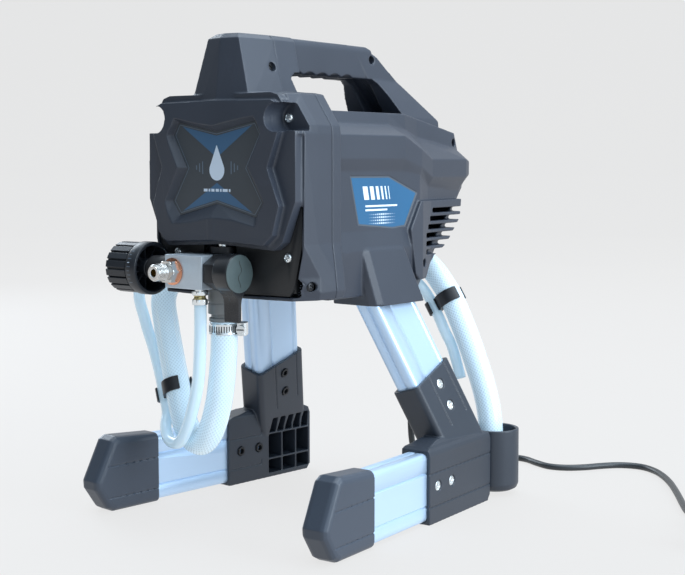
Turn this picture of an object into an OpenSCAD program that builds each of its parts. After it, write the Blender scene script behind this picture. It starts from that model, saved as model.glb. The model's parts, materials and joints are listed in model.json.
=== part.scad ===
// Airless paint sprayer on two leg-and-foot runners, with suction hose,
// return tube and mains lead. Millimetres, +Z up, front faces -Y.

/* [Housing] */
// Width across the side walls of the front cover
body_w = 164; // [140:1:197]
// Wall thickness of the moulded shells
wall = 2.6; // [2:0.1:3.4]
// Parting line between front cover and rear housing, along Y
seam_y = -71; // [-74:1:-68]
// Depth of the front cover ahead of the parting line
cover_depth = 42; // [38:1:50]
// How far the raised star bezel stands ahead of the cover
bezel_rise = 10.5; // [6:0.5:12]
// Height of the front cover above the belly of the housing
cover_h = 173; // [166:1:180]
// Height of the rear housing above the belly
rear_h = 160; // [152:1:166]
// Rear end of the rear housing, along Y
rear_end = 157; // [150:1:180]
// Height of the carrying handle above the belly
grip_top = 220; // [212:1:260]
// Height of the hand grip itself
grip_h = 29; // [24:1:35]
// Width of the hand grip
grip_w = 34; // [28:1:41]

/* [Legs and feet] */
// Length of a leg tube
leg_len = 160.2; // [134:0.1:192]
// Sideways slant of the legs, degrees
leg_splay = 16.7; // [12:0.1:20]
// Backward slant of the legs, degrees
leg_rake = 21; // [17:0.5:25]
// Width of the leg extrusion
tube_w = 54; // [45:1:60]
// Height of the foot extrusion
foot_w = 57.5; // [48:0.5:60]
// Thickness of the leg and foot extrusion
tube_t = 21; // [17.5:0.5:26]
// Wall of the extrusion
tube_wall = 1.6; // [1.2:0.1:2.4]
// Length of a foot tube
foot_len = 167.2; // [140:0.1:200]
// Toe-out of the feet, degrees
foot_toe = 4.6; // [0:0.1:8]
// Wall of the elbow sockets
elbow_wall = 3.2; // [2.4:0.1:4.5]
// Wall of the front foot caps
cap_wall = 1.5; // [1.2:0.1:2.5]
// Clearance between a tube and its socket
fit_gap = 0.15; // [0.1:0.05:0.3]
// Leg bolt diameter
bolt_d = 5; // [4:0.5:6]

/* [Pump] */
// Side of the square pump block
block_side = 27; // [25:0.5:30]
// Length of the pump block along X
block_len = 45; // [42:1:54]
// Outside diameter of the outlet thread
outlet_d = 13.7; // [12:0.1:15]
// Length of the outlet thread
outlet_len = 13.8; // [11:0.1:17]
// Diameter of the piston
piston_d = 13; // [10:0.5:14]
// Travel of the piston
stroke = 16; // [12:1:19]
// Outside diameter of the inlet fitting
inlet_d = 25.6; // [23:0.1:28]
// Diameter of the pressure knob
knob_d = 44; // [36:1:53]
// Length of the pressure knob
knob_len = 39; // [32:1:47]
// Diameter of the prime valve lever's hub
hub_d = 31; // [26:0.5:34]
// Length of the prime lever's tail below the valve axis
tail_len = 39; // [30:1:46]

/* [Drive] */
// Diameter of the motor can
motor_d = 72; // [60:1:76]
// Length of the motor can
motor_len = 92; // [76:1:100]
// Diameter of the motor shaft
shaft_d = 8; // [6:0.5:9]
// Running clearance of shafts, on radius
run_gap = 0.05; // [0.02:0.01:0.1]
// Teeth of the motor pinion
pinion_teeth = 14; // [12:1:17]
// Teeth of the large idler gear
idler_teeth = 58; // [50:1:62]
// Teeth of the small idler gear
idler_small_teeth = 15; // [13:1:18]
// Teeth of the crank gear
crank_teeth = 48; // [40:1:52]

/* [Hoses and lead] */
// Outside diameter of the suction hose
hose_d = 22; // [18:0.5:24]
// Outside diameter of the return tube
return_d = 10; // [8:0.5:11]
// Diameter of the mains lead
lead_d = 6; // [5:0.5:7]
// Outside diameter of the hose cup
cup_d = 44; // [38:1:52]
// Height of the hose cup
cup_h = 56; // [46:1:67]

/* [Hidden] */
$fn = 48;
e = 0.01;                 // overlap of joined volumes
touch = 0.3;              // gap between seated pieces

// heights
leg_lean = acos(cos(leg_rake) * cos(leg_splay));
leg_rise = leg_len * cos(leg_lean);
seat_z = 70.5;            // lower end of a leg tube
leg_in = 33.75;              // how far a leg tube stands inside the housing
belly_z = seat_z + leg_rise - leg_in;
w2 = body_w / 2;

// unit vector up along the right leg, and where the leg crosses the belly
leg_up = [-sin(leg_splay) * cos(leg_rake), -sin(leg_rake), cos(leg_splay) * cos(leg_rake)];
leg_top_x = w2 - 15.7;
leg_top_y = 20;
leg_x0 = leg_top_x - leg_up[0] / leg_up[2] * (belly_z - seat_z);
leg_y0 = leg_top_y - leg_up[1] / leg_up[2] * (belly_z - seat_z);
foot_x = leg_x0 + 6.35;   // the feet's axis at foot_y
foot_y = leg_y0 + 15.15;
foot_mid_z = foot_w / 2 + 2;
elbow_front = 77.6;       // front edge of the elbow ahead of foot_y
elbow_rear = 28.5;
tube_start = 28.8;          // rear end of the foot tube ahead of foot_y
cap_start = 159;
cap_tip = tube_start + foot_len + 31.5;
socket_len = 51.3;        // elbow socket above seat_z, along the leg
leg_bolt_z = [17.5, 38.5];    // along the leg
foot_bolt_s = [40, 62.9];
bolt_z = 30.6;

// pump
pump_x = -6;              // piston axis
pump_y = -102;
valve_y = -122;           // axis of knob, block and prime valve
valve_z = 31.2;           // above the belly
block_x1 = 2;
block_x0 = block_x1 - block_len;
outlet_x = -30;
block_y0 = valve_y - block_side / 2;
block_y1 = valve_y + block_side / 2;
block_z0 = valve_z - block_side / 2;
block_z1 = valve_z + block_side / 2;
washer_t = 1.2;
outlet_hex = 7;
outlet_tip = block_y0 - washer_t - outlet_hex - outlet_len;
knob_x1 = -66;
knob_x0 = knob_x1 - knob_len;
hub_x0 = 14.3;
hub_x1 = 30.6;
inlet_z0 = -10;           // lower face of the inlet fitting
return_x = -13.3;
ball_d = 8;

// drive, heights above the belly
motor_z = 120;
crank_z = 84;
motor_y0 = -48;
motor_y1 = motor_y0 + motor_len;
fan_d = motor_d - 16;
gear_m1 = 1;
gear_m2 = 1.25;
reach1 = gear_m1 * (pinion_teeth + idler_teeth) / 2;
reach2 = gear_m2 * (idler_small_teeth + crank_teeth) / 2;
// where two circles about a and b meet, on the left of a to b
function meet(a, ra, b, rb) = let (d = norm(b - a), u = (b - a) / d,
    t = (d * d + ra * ra - rb * rb) / (2 * d))
  a + t * u + sqrt(ra * ra - t * t) * [u[1], -u[0]];
motor_p = [0, motor_z];
crank_p = [pump_x, crank_z];
idler_p = meet(motor_p, reach1, crank_p, reach2);
plate_y0 = -70;           // gearbox plate, front face
plate_y1 = -62;
gear1_y = -79;            // pinion and large idler gear
gear1_w = 6;
gear2_y = -90;            // small idler gear and crank gear
gear2_w = 8;

// cup at the rear of the right foot
cup_y = rear_end - 23;
cup_x = foot_x - 1;
cup_z = 4;
cup_wall = 2.5;

// mains lead on the floor, and the coil that it ends in
lead_r = lead_d / 2;
coil_c = [338, 156];
coil_r0 = 26.5;           // innermost turn
coil_turns = 2.25;        // turns of each layer
coil_pitch = 6.8;
coil_layer = 7;
coil_dip = 1.5;           // how far the climbing half turn bows inward
coil_a0 = 215;            // bearing of the start
coil_tail = 12;           // straight run to the plug

/* outline helpers */
function inset(p, d) = [for (i = [0:len(p) - 1])
  let (n = len(p), a = p[(i + n - 1) % n], b = p[i], c = p[(i + 1) % n],
    u = (b - a) / norm(b - a), v = (c - b) / norm(c - b),
    nu = [-u[1], u[0]], nv = [-v[1], v[0]]) b + d / (1 + nu * nv) * (nu + nv)];
// closed outline, counter-clockwise, from its right half listed top to bottom
function whole(half) = concat([for (i = [len(half) - 1:-1:0]) half[i]],
  [for (q = half) if (abs(q[0]) > e) [-q[0], q[1]]]);

module along_y(y0, y1) translate([0, y1, 0]) rotate([90, 0, 0]) linear_extrude(y1 - y0) children();
module along_x(x0, x1) translate([x0, 0, 0]) rotate([90, 0, 90]) linear_extrude(x1 - x0) children();
module rod_x(x0, x1, d, fn = 48) translate([x0, 0, 0]) rotate([0, 90, 0]) cylinder(h = x1 - x0, d = d, $fn = fn);
module rod_y(y0, y1, d, fn = 48) translate([0, y1, 0]) rotate([90, 0, 0]) cylinder(h = y1 - y0, d = d, $fn = fn);
module mirrored() { children(); mirror([1, 0, 0]) children(); }
module rounded_rect(a, b, r) {
  square([a - 2 * r, b], center = true);
  square([a, b - 2 * r], center = true);
  for (x = [-1, 1], y = [-1, 1]) translate([x * (a / 2 - r), y * (b / 2 - r)]) circle(r, $fn = 24);
}
// closed skin over rings of equal point count, each ring [x, y, z] points
module skin(rings) {
  n = len(rings[0]);
  m = len(rings);
  points = [for (r = rings) each r];
  sides = [for (i = [0:m - 2], k = [0:n - 1])
    each [[i * n + k, (i + 1) * n + k, (i + 1) * n + (k + 1) % n],
      [i * n + k, (i + 1) * n + (k + 1) % n, i * n + (k + 1) % n]]];
  polyhedron(points, concat(sides, [[for (k = [0:n - 1]) k]],
    [[for (k = [n - 1:-1:0]) (m - 1) * n + k]]));
}
function at_y(p, y) = [for (i = [len(p) - 1:-1:0]) [p[i][0], y, p[i][1]]];
module at_body() translate([0, 0, belly_z]) children();
module leg_frame() translate([leg_x0, leg_y0, seat_z]) rotate([leg_rake, -leg_splay, 0]) children();
module foot_frame() translate([foot_x, foot_y, 0]) rotate([0, 0, foot_toe]) children();

/* tubes that follow a route */
function way(p, i) = let (a = p[max(0, i - 1)], b = p[min(len(p) - 1, i + 1)]) (b - a) / norm(b - a);
function frames(p, i, u) = i >= len(p) ? [] :
  let (t = way(p, i), v = u - (u * t) * t, w = v / norm(v)) concat([[w, cross(t, w)]], frames(p, i + 1, w));
module tube(p, r, sides, up = [1, 0, 0]) {
  f = frames(p, 0, up);
  n = len(p);
  points = [for (i = [0:n - 1], k = [0:sides - 1])
    let (a = 360 * k / sides) p[i] + r * (cos(a) * f[i][0] + sin(a) * f[i][1])];
  skins = [for (i = [0:n - 2], k = [0:sides - 1])
    let (a = i * sides + k, b = i * sides + (k + 1) % sides) each [[a, a + sides, b + sides], [a, b + sides, b]]];
  ends = [for (k = [1:sides - 2]) each [[0, k, k + 1],
    [(n - 1) * sides, (n - 1) * sides + k + 1, (n - 1) * sides + k]]];
  polyhedron(points, concat(skins, ends));
}

/* outlines of the housing, right halves, heights above the belly */
cover_back = [[0, cover_h], [w2 - 26, cover_h], [w2 - 18, cover_h - 1.4], [w2 - 1, cover_h - 26.4],
  [w2, cover_h - 33], [w2, 55], [w2 + 3.6, 29], [w2 + 4.7, 17.5], [w2 + 2.8, 11.4], [0, 9.4]];
cover_mid = [[0, cover_h], [w2 - 26, cover_h], [w2 - 18, cover_h - 1.4], [w2 - 1, cover_h - 26.4],
  [w2, cover_h - 33], [w2, 55], [w2 + 2, 29], [w2 + 2.4, 17], [w2 + 0.6, 11], [0, 9.4]];
cover_front = [[0, cover_h - 0.5], [w2 - 27, cover_h - 0.5], [w2 - 19, cover_h - 2], [w2 - 1.5, cover_h - 27],
  [w2, cover_h - 33], [w2 - 1, 55], [w2 - 7, 29], [w2 - 11, 17], [w2 - 13.5, 10.5], [0, 9.4]];
slab = [[0, cover_h - 1], [w2 - 27, cover_h - 1], [w2 - 20, cover_h - 3], [w2 - 2.5, cover_h - 27],
  [w2 - 2.5, 88], [w2 - 16, 56], [w2 - 25, 50], [0, 53]];
bezel = [[0, cover_h - 6], [w2 - 22, cover_h - 7], [w2 - 12.5, cover_h - 11], [w2 - 12.1, cover_h - 27],
  [w2 - 24.6, 114], [w2 - 13.3, 85], [w2 - 20, 62], [w2 - 29, 54], [0, 57]];
star_rim = [[0, 149.1], [44.4, 155.5], [52.3, 140], [39.7, 114.2], [55.7, 87.3], [46.4, 67], [0, 75.3]];
star_floor = [[0, 142.8], [41.7, 150.7], [48.3, 140], [33.5, 113.7], [50, 87], [41.3, 75], [0, 85.1]];
slab_y = seam_y - cover_depth + 0.3;   // front face of the slab
front_y = slab_y - bezel_rise;         // foremost ridge of the bezel
ring_y = seam_y - 33;                  // where the side walls end
badge_y = -115;
badge_t = 1;

// rear housing outline at a station: x offsets from the half width, heights
rear_ring_a = [[0, rear_h], [w2 - 26, rear_h], [w2 - 24, rear_h - 10], [w2 - 6, rear_h - 19.5],
  [w2 - 6, 121], [w2 - 10, 111], [w2 - 10, 62], [w2 - 7, 46], [w2 - 11, 8], [0, 8]];
rear_ring_b = [[0, rear_h], [w2 - 27, rear_h], [w2 - 26, rear_h - 14], [w2 - 8, rear_h - 30.4],
  [w2 - 8, 114], [w2 - 10, 108], [w2 - 10, 62], [w2 - 9, 46], [w2 - 13, 8], [0, 8]];
rear_ring_c = [[0, rear_h - 3.3], [w2 - 30, rear_h - 3.3], [w2 - 29, rear_h - 20], [w2 - 12, rear_h - 39.3],
  [w2 - 12, 105], [w2 - 17, 97], [w2 - 18, 62], [w2 - 18, 40], [w2 - 20, 21], [0, 21]];
rear_ring_d = [[0, rear_h - 15], [w2 - 33, rear_h - 15], [w2 - 32, rear_h - 29], [w2 - 19, rear_h - 39.3],
  [w2 - 19, 105], [w2 - 25, 97], [w2 - 28, 92], [w2 - 28, 88], [w2 - 30, 84], [0, 83]];
rear_ring_e = [[0, rear_h - 29], [w2 - 36, rear_h - 29], [w2 - 35, rear_h - 32], [w2 - 22, rear_h - 41],
  [w2 - 22, 107], [w2 - 28, 100], [w2 - 30, 97], [w2 - 30, 95], [w2 - 32, 93], [0, 93]];
rear_y = [seam_y + 9, 35, 62, 84, rear_end - 9, rear_end];
flange_y = seam_y + 11.7;

/* screw places, [y, height above the belly, x of the head] */
post_screw = [-78, 194, 22];
half_screws = [[65, grip_top - 12, 11], [147, 136, 42], [67, 31, 60]];
skirt_screw = [-94, 22, w2 - 4];
upper_screw = [w2 - 21.4, cover_h - 20.7];
lower_screws = [[w2 - 18, 44.3], [26 - w2, 44.3]];
pocket_r = 11.3;
pocket_y = -97;

module front_cover() color([0.2, 0.21, 0.23]) at_body() difference() {
  union() {
    difference() {
      skin([at_y(whole(cover_front), ring_y), at_y(whole(cover_mid), seam_y - 17), at_y(whole(cover_back), seam_y)]);
      skin([at_y(inset(whole(cover_front), wall), ring_y - 5), at_y(inset(whole(cover_mid), wall), seam_y - 17),
        at_y(inset(whole(cover_back), wall), seam_y + 1)]);
    }
    difference() {
      union() {
        along_y(slab_y, ring_y + 1) polygon(whole(slab));
        bezel_body();
      }
      along_y(slab_y + 3.2, ring_y + 2) polygon(inset(whole(slab), wall));
      along_y(badge_y + badge_t + 2, ring_y + 2) polygon(inset(whole(bezel), 5));
    }
    along_y(ring_y, ring_y + 2.5) difference() {
      intersection() {
        polygon(inset(whole(cover_front), 0.4));
        translate([-w2 - 10, 90]) square([2 * w2 + 20, 100]);
      }
      polygon(inset(whole(slab), wall));
    }
    intersection() {
      mirrored() at_pocket() {
        rod_y(ring_y - 6, pocket_y + 3, 2 * pocket_r + 5);
        translate([0, ring_y - 6, -pocket_r - 2]) cube([20, pocket_y + 9 - ring_y, 2 * pocket_r + 4]);
      }
      along_y(ring_y - 6, seam_y) polygon(inset(whole(cover_mid), 1.2));
    }
    front_post();
  }
  star_recess();
  mirrored() at_pocket() {
    rod_y(-140, pocket_y, 2 * pocket_r);
    translate([0, -140, -pocket_r + 0.8]) cube([30, pocket_y + 140, 2 * pocket_r - 1.6]);
  }
  translate([pump_x - 8, pump_y - 8, 40]) cube([16, 23, 24]);
  translate([pump_x - inlet_d / 2 - 2, -130, 0]) cube([inlet_d + 4, 130 + pump_y + inlet_d / 2 + 2, 20]);
  knob_relief();
  mirrored() translate([upper_screw[0], 0, upper_screw[1]]) rod_y(-120, seam_y + 1, 4.2);
  translate([0, post_screw[0], post_screw[1]]) {
    rod_x(post_screw[2], 60, 7.4);
    rod_x(-14, 60, 4.1);
  }
  mirrored() translate([0, skirt_screw[0], skirt_screw[1]]) {
    rod_x(skirt_screw[2], w2 + 20, 7.4);
    rod_x(w2 - 24, w2 + 1, 4.1);
  }
}
module knob_relief() translate([0, valve_y, valve_z]) rod_x(-w2 - 20, knob_x1 + 1, knob_d + 2);
module at_pocket() translate([w2 - 16.6, 0, cover_h - 20.3]) children();
module bezel_body() difference() {
  intersection() {
    along_y(front_y - 1, ring_y) polygon(whole(bezel));
    union() for (s = [0, 1]) mirror([s, 0, 0])
      translate([0, front_y, 0]) rotate([0, 0, 3]) translate([-3, 0, 0]) cube([w2 + 5, 60, 220]);
  }
  translate([-120, front_y, 120]) rotate([-6, 0, 0]) translate([0, -30, 0]) cube([240, 30, 80]);
}
module star_recess() {
  big = whole(star_rim);
  small = whole(star_floor);
  skin([at_y(small, badge_y), at_y(small, badge_y + badge_t)]);
  wide = [for (i = [0:len(big) - 1]) 2 * big[i] - small[i]];
  skin([at_y(wide, 2 * front_y - badge_y + 1), at_y(small, badge_y + e)]);
}
function post_ring(z, yc, ws, ys, wr, yr) = [[0, yc, z], [ws, ys, z], [wr, yr, z], [-wr, yr, z], [-ws, ys, z]];
// ring of the front post at a height, drawn in by t: f runs from 0 at its foot to 1 near its top
function post_at(z, t) = let (f = (z - cover_h + 8) / (grip_top - cover_h + 4))
  post_ring(z, -116 + 6.3 * f + t, 31.5 - 14.9 * f - t, -111 + 4.3 * f + t, 35 - 14 * f - t, seam_y + (t > 0 ? 1 : 0));
function post_rings(t) = [post_at(cover_h + (t > 0 ? 4 : -8), t), post_at(grip_top - 4, t),
  post_ring(grip_top - t, -104.5 + t, 12 - t, -101.5 + t, 16.5 - t, seam_y + (t > 0 ? 1 : 0))];
module front_post() {
  difference() {
    skin(post_rings(0));
    skin(post_rings(wall));
  }
  intersection() {
    skin(post_rings(0));
    translate([0, post_screw[0], post_screw[1]]) rod_x(-18, 40, 12);
  }
}

module star_badge() color([0.27, 0.39, 0.53]) at_body()
  along_y(badge_y, badge_y + badge_t - 0.1) polygon(inset(whole(star_floor), 0.3));

/* rear housing: a clamshell of two halves with the handle */
rear_rings = [rear_ring_a, rear_ring_a, rear_ring_b, rear_ring_c, rear_ring_d, rear_ring_e];
module rear_shape(t) skin([for (i = [0:5]) let (r = rear_rings[i],
    y = t == 0 || i < 5 ? rear_y[i] - (t > 0 && i == 0 ? 12 : 0) - (t > 0 && i == 4 ? 1 : 0) : rear_end - t)
  at_y(t == 0 ? whole(r) : inset(whole(r), t), y)]);
grip_z0 = grip_top - grip_h;
grip_y1 = 59;             // rear end of the level grip
post_y1 = -56;            // rear face of the front post, top
gap_y1 = 68;              // rear end of the finger gap, top
strut_end = 151;          // rear foot of the handle
module handle_side() {
  difference() {
    polygon([[seam_y, rear_h - 6], [seam_y, grip_top], [grip_y1, grip_top - 1], [grip_y1 + 5, grip_top - 3.4],
      [strut_end, 156], [strut_end, rear_h - 20], [gap_y1 + 20, rear_h - 20], [gap_y1 + 24, rear_h + 1],
      [gap_y1 + 3, grip_z0 - 4], [gap_y1 - 4, grip_z0], [post_y1 + 6, grip_z0], [post_y1, grip_z0 - 5],
      [-50, cover_h], [-46, rear_h - 6]]);
    for (i = [0:4]) translate([-36 + i * 16.7, grip_z0 - 9.7]) circle(12, $fn = 64);
  }
}
// rings of the handle's rear strut from its foot up, wide at the foot, its edges rounded
function strut_ring(y0, y1, z, a, b) = [[a - 4, y0, z], [a, y0 + 4, z], [b, y1 - 5, z - 2], [b - 5, y1, z - 3],
  [5 - b, y1, z - 3], [-b, y1 - 5, z - 2], [-a, y0 + 4, z], [4 - a, y0, z]];
module handle() intersection() {
  along_x(-50, 50) handle_side();
  union() {
    along_y(seam_y, grip_y1 + 6) translate([0, grip_top - grip_h / 2 - 2]) rounded_rect(grip_w, grip_h + 8, 9);
    along_y(seam_y, -44) polygon([[-35, rear_h - 8], [35, rear_h - 8], [21, cover_h + 43], [16.5, grip_top + 1],
      [-16.5, grip_top + 1], [-21, cover_h + 43]]);
    skin([strut_ring(84, 165, rear_h - 24, 36, 32), strut_ring(80, 162, rear_h - 1, 32, 29),
      strut_ring(68, 140, rear_h + 14, 27, 24), strut_ring(54, 112, grip_z0 + 1, grip_w / 2 + 1, grip_w / 2 + 1),
      strut_ring(40, 90, grip_top - 8, grip_w / 2, grip_w / 2),
      strut_ring(38, 80, grip_top + 1, grip_w / 2 - 6, grip_w / 2 - 6)]);
  }
}
module handle_hollow() {
  along_y(seam_y - 1, grip_y1 - 14) translate([0, grip_top - grip_h / 2 + 1])
    rounded_rect(grip_w - 9, grip_h - 12, 4);
  along_y(seam_y - 1, seam_y + 9) polygon([[-28, rear_h], [28, rear_h], [16, grip_top - 6], [-16, grip_top - 6]]);
  along_x(-10, 10) polygon([[45, rear_h + 2], [110, rear_h - 4], [90, rear_h + 16],
    [62, grip_top - 20], [45, grip_top - 20]]);
}
bracket_low = [[w2 - 43, -16], [w2 - 5.5, -16], [w2 + 0.6, -13.2], [w2 + 3, -6.5], [w2 + 3, 51], [w2 - 43, 51]];
bracket_high = [[w2 - 43, -26], [w2 - 13.5, -26], [w2 - 7.4, -23.2], [w2 - 5, -16.5], [w2 - 5, 33], [w2 - 43, 33]];
module bracket() skin([[for (q = bracket_low) [q[0], q[1], 0]], [for (q = bracket_high) [q[0], q[1], 46]],
  [for (q = bracket_high) [q[0] - 4, q[1], 50]]]);
// louvred block on each side near the rear end, and the slots between its fins
slot_pitch = 7.2;
louvre_x = w2 - 6;
louvre_side = [[59, 85], [44, 61], [52, 22], [58, 17], [72, 17.5], [80, 27], [91.5, 36.5], [107, 42.5],
  [117.5, 48.5], [128, 58], [140, 69], [142, 85]];
louvre_plan = [[louvre_x - 34, 40], [louvre_x, 40], [louvre_x - 0.5, 62], [louvre_x - 7.5, 84],
  [louvre_x - 14, 142], [louvre_x - 20, 150], [louvre_x - 34, 150]];
function slot_y(i) = 72 + 5 * max(0, i - 2);
module slot(i, y1) translate([w2 - 36, slot_y(i), 40 + i * slot_pitch - 2.1]) cube([46, y1 - slot_y(i), 4.2]);
module louvres() difference() {
  intersection() {
    along_x(w2 - 40, w2) polygon(louvre_side);
    linear_extrude(120) polygon(louvre_plan);
  }
  for (i = [0:5]) slot(i, 160);
}
module rear_half(heads) {
  difference() {
    union() {
      difference() {
        union() {
          rear_shape(0);
          louvres();
          along_y(seam_y + 0.3, flange_y) polygon(whole(cover_back));
        }
        rear_shape(wall);
        along_y(seam_y - 1, flange_y - wall) polygon(inset(whole(cover_back), wall));
      }
      handle();
      bracket();
      intersection() {
        union() {
          for (y = [-30, 30]) along_y(y - 1.5, y + 1.5) square([2 * w2, 320], center = true);
          for (q = half_screws) translate([0, q[0], q[1]]) rod_x(0, w2, 13);
          translate([upper_screw[0], 0, upper_screw[1]]) rod_y(seam_y + 0.3, seam_y + 18, 9);
        }
        union() {
          rear_shape(1);
          translate([-1, seam_y + 0.3, 100]) cube([w2, 12, 70]);
          handle();
        }
      }
    }
    translate([0, 0, motor_z]) rod_y(-60, 70, motor_d + 2 * touch, 96);
    handle_hollow();
    at_leg() translate([0, 0, -10]) leg_outline(touch, leg_len + 12);
    side_recess(0);
    for (i = [0:5]) slot(i, 87 + 9 * i);
    for (q = half_screws) translate([0, q[0], q[1]]) {
      rod_x(-1, heads ? w2 : 7, 4.1);
      if (heads) rod_x(q[2], w2 + 9, 7.4);
    }
    translate([upper_screw[0], 0, upper_screw[1]]) rod_y(seam_y - 1, seam_y + 16, 3.9);
    translate([-20, rear_end - 3, 102]) cube([40, 10, 26]);
    translate([-11, rear_end - 12, 105]) cube([22, 20, 20]);
    translate([0, rear_end - 7, 70]) cylinder(d = 10.1, h = 30);
    translate([-w2 * 2, -200, -100]) cube([w2 * 2, 400, 400]);
  }
}
module at_leg() translate([leg_x0, leg_y0, seat_z - belly_z]) rotate([leg_rake, -leg_splay, 0]) children();
module side_recess(g) along_x(w2 - 11 + g * 0.2, w2 - 4) offset_panel(g);
panel = [[-36, 107.3], [-25, 66.5], [22.7, 62.3], [40, 63.6], [58, 92.6], [17.4, 107]];
module offset_panel(g) polygon(inset(panel, g * 0.3));
module rear_housing_right() color([0.2, 0.21, 0.23]) at_body() rear_half(true);
module rear_housing_left() color([0.2, 0.21, 0.23]) at_body() mirror([1, 0, 0]) rear_half(false);
module side_panel() along_x(w2 - 11, w2 - 10.3) offset_panel(1);
module side_panel_right() color([0.25, 0.56, 0.75]) at_body() side_panel();
module side_panel_left() color([0.25, 0.56, 0.75]) at_body() mirror([1, 0, 0]) side_panel();

plate_half = [[0, 62], [w2 - 22, 62], [w2 - 10, 84], [w2 - 4, 84], [w2 - 4.4, 54], [w2 - 10.2, 29], [w2 - 13.9, 18],
  [w2 - 17, 14], [0, 13]];
plate_front = ring_y + 1 + touch;
module pump_plate() color([0.06, 0.06, 0.065]) at_body() difference() {
  union() {
    along_y(plate_front, plate_front + 2.8) polygon(whole(plate_half));
    mirrored() translate([w2 - 26, plate_front + 2, skirt_screw[1] - 5.5]) cube([14, 11.5, 11]);
  }
  translate([pump_x - 21, -120, 0]) cube([36, 30, 52]);
  translate([pump_x - 8, -120, 50]) cube([16, 30, 20]);
  knob_relief();
  for (q = lower_screws) translate([q[0], 0, q[1]]) rod_y(-110, -90, 4.2);
  mirrored() translate([0, skirt_screw[0], skirt_screw[1]]) rod_x(w2 - 27, w2, 4.1);
}

/* gearbox and motor */
bearing_d = 22;
function ring_place(p) = [p[0], 0, p[1]];
module gearbox_case() color([0.62, 0.64, 0.66]) at_body() difference() {
  union() {
    along_y(plate_y0, plate_y1) polygon([[-w2 + 10, 24], [w2 - 10, 24], [w2 - 6, 60], [w2 - 6, 128], [w2 - 22, 152],
      [-w2 + 22, 152], [-w2 + 6, 128], [-w2 + 6, 60]]);
    for (p = [motor_p, crank_p, idler_p]) translate(ring_place(p)) rod_y(plate_y0 - 0.5, plate_y1 + 6, bearing_d + 8);
    translate([pump_x - 14, pump_y + 10 + touch, block_z0 + 0.5]) cube([28, plate_y0 - pump_y - 9, block_side]);
  }
  for (p = [motor_p, crank_p, idler_p]) translate(ring_place(p)) {
    rod_y(plate_y0 + 2, plate_y1 + 7, bearing_d + 0.1);
    rod_y(plate_y0 - 2, plate_y1 + 7, shaft_d + 6);
  }
  for (z = [23, 38]) translate([pump_x, 0, z]) rod_y(-100, -78, 4.1);
  mirrored() translate([upper_screw[0], 0, upper_screw[1]]) rod_y(-80, -50, 11);
}
module shaft_bearings() color([0.75, 0.76, 0.78]) at_body() {
  for (p = [motor_p, crank_p, idler_p]) translate(ring_place(p)) difference() {
    rod_y(plate_y0 + 2.1, plate_y0 + 9.1, bearing_d);
    rod_y(plate_y0, plate_y0 + 12, shaft_d + 2 * run_gap);
  }
  translate(ring_place(motor_p)) difference() {
    rod_y(motor_y1 + 3, motor_y1 + 10, bearing_d);
    rod_y(motor_y1, motor_y1 + 12, shaft_d + 2 * run_gap);
  }
}
module motor_can() color([0.35, 0.36, 0.38]) at_body() translate([0, 0, motor_z]) difference() {
  rod_y(motor_y0, motor_y1, motor_d, 96);
  rod_y(motor_y0 + 2, motor_y1 + 1, motor_d - 5, 96);
  rod_y(motor_y0 - 1, motor_y0 + 3, 26);
}
module motor_magnets() color([0.16, 0.16, 0.17]) at_body() translate([0, 0, motor_z]) difference() {
  rod_y(motor_y0 + 12, motor_y1 - 22, motor_d - 5.2, 96);
  rod_y(motor_y0 + 10, motor_y1 - 20, motor_d - 17, 96);
  for (a = [0, 90]) rotate([0, a, 0]) cube([3, 300, motor_d + 10], center = true);
}
module motor_end_bell() color([0.12, 0.12, 0.13]) at_body() translate([0, 0, motor_z]) difference() {
  union() {
    rod_y(motor_y1 + 0.1, motor_y1 + 8, motor_d - 2, 96);
    rod_y(motor_y1 + 7, motor_y1 + 12, bearing_d + 6);
  }
  rod_y(motor_y1 - 1, motor_y1 + 3, motor_d - 20, 96);
  rod_y(motor_y1 - 1, motor_y1 + 10.1, bearing_d + 0.1);
  rod_y(motor_y1 - 1, motor_y1 + 14, shaft_d + 4);
  for (a = [45:90:315]) rotate([0, a, 0]) translate([motor_d / 2 - 14, 0, 0]) rod_y(motor_y1 - 1, motor_y1 + 14, 9);
}
module carbon_brushes() color([0.1, 0.1, 0.1]) at_body() translate([0, 0, motor_z])
  for (x = [12.3, -motor_d / 2 + 3]) translate([x, motor_y1 - 14, -4]) cube([motor_d / 2 - 15.3, 8, 8]);
module motor_shaft() color([0.78, 0.79, 0.8]) at_body() translate(ring_place(motor_p)) {
  rod_y(gear1_y - 1, motor_y1 + 34, shaft_d);
  translate([0, gear1_y + gear1_w, 0]) rotate([90, 0, 0])
    linear_extrude(gear1_w) gear(gear_m1, pinion_teeth, mesh1);
}
module armature() color([0.6, 0.38, 0.2]) at_body() translate(ring_place(motor_p)) difference() {
  union() {
    rod_y(motor_y0 + 14, motor_y1 - 24, motor_d - 19, 96);
    rod_y(motor_y1 - 24, motor_y1 - 18, motor_d - 34);
    rod_y(motor_y1 - 18, motor_y1 - 3, 24);
  }
  rod_y(motor_y0, motor_y1, shaft_d);
  for (a = [0:30:330]) rotate([0, a, 0]) translate([motor_d / 2 - 13, 0, 0]) cube([9, 300, 2.4], center = true);
}
module cooling_fan() color([0.13, 0.13, 0.14]) at_body() translate(ring_place(motor_p)) difference() {
  union() {
    rod_y(motor_y1 + 16, motor_y1 + 30, 18);
    rod_y(motor_y1 + 16, motor_y1 + 17.5, fan_d);
    for (a = [0:30:330]) rotate([0, a, 0]) translate([8, motor_y1 + 17, -0.7]) cube([fan_d / 2 - 8.5, 12, 1.4]);
  }
  rod_y(motor_y1 + 12, motor_y1 + 32, shaft_d);
}
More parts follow.
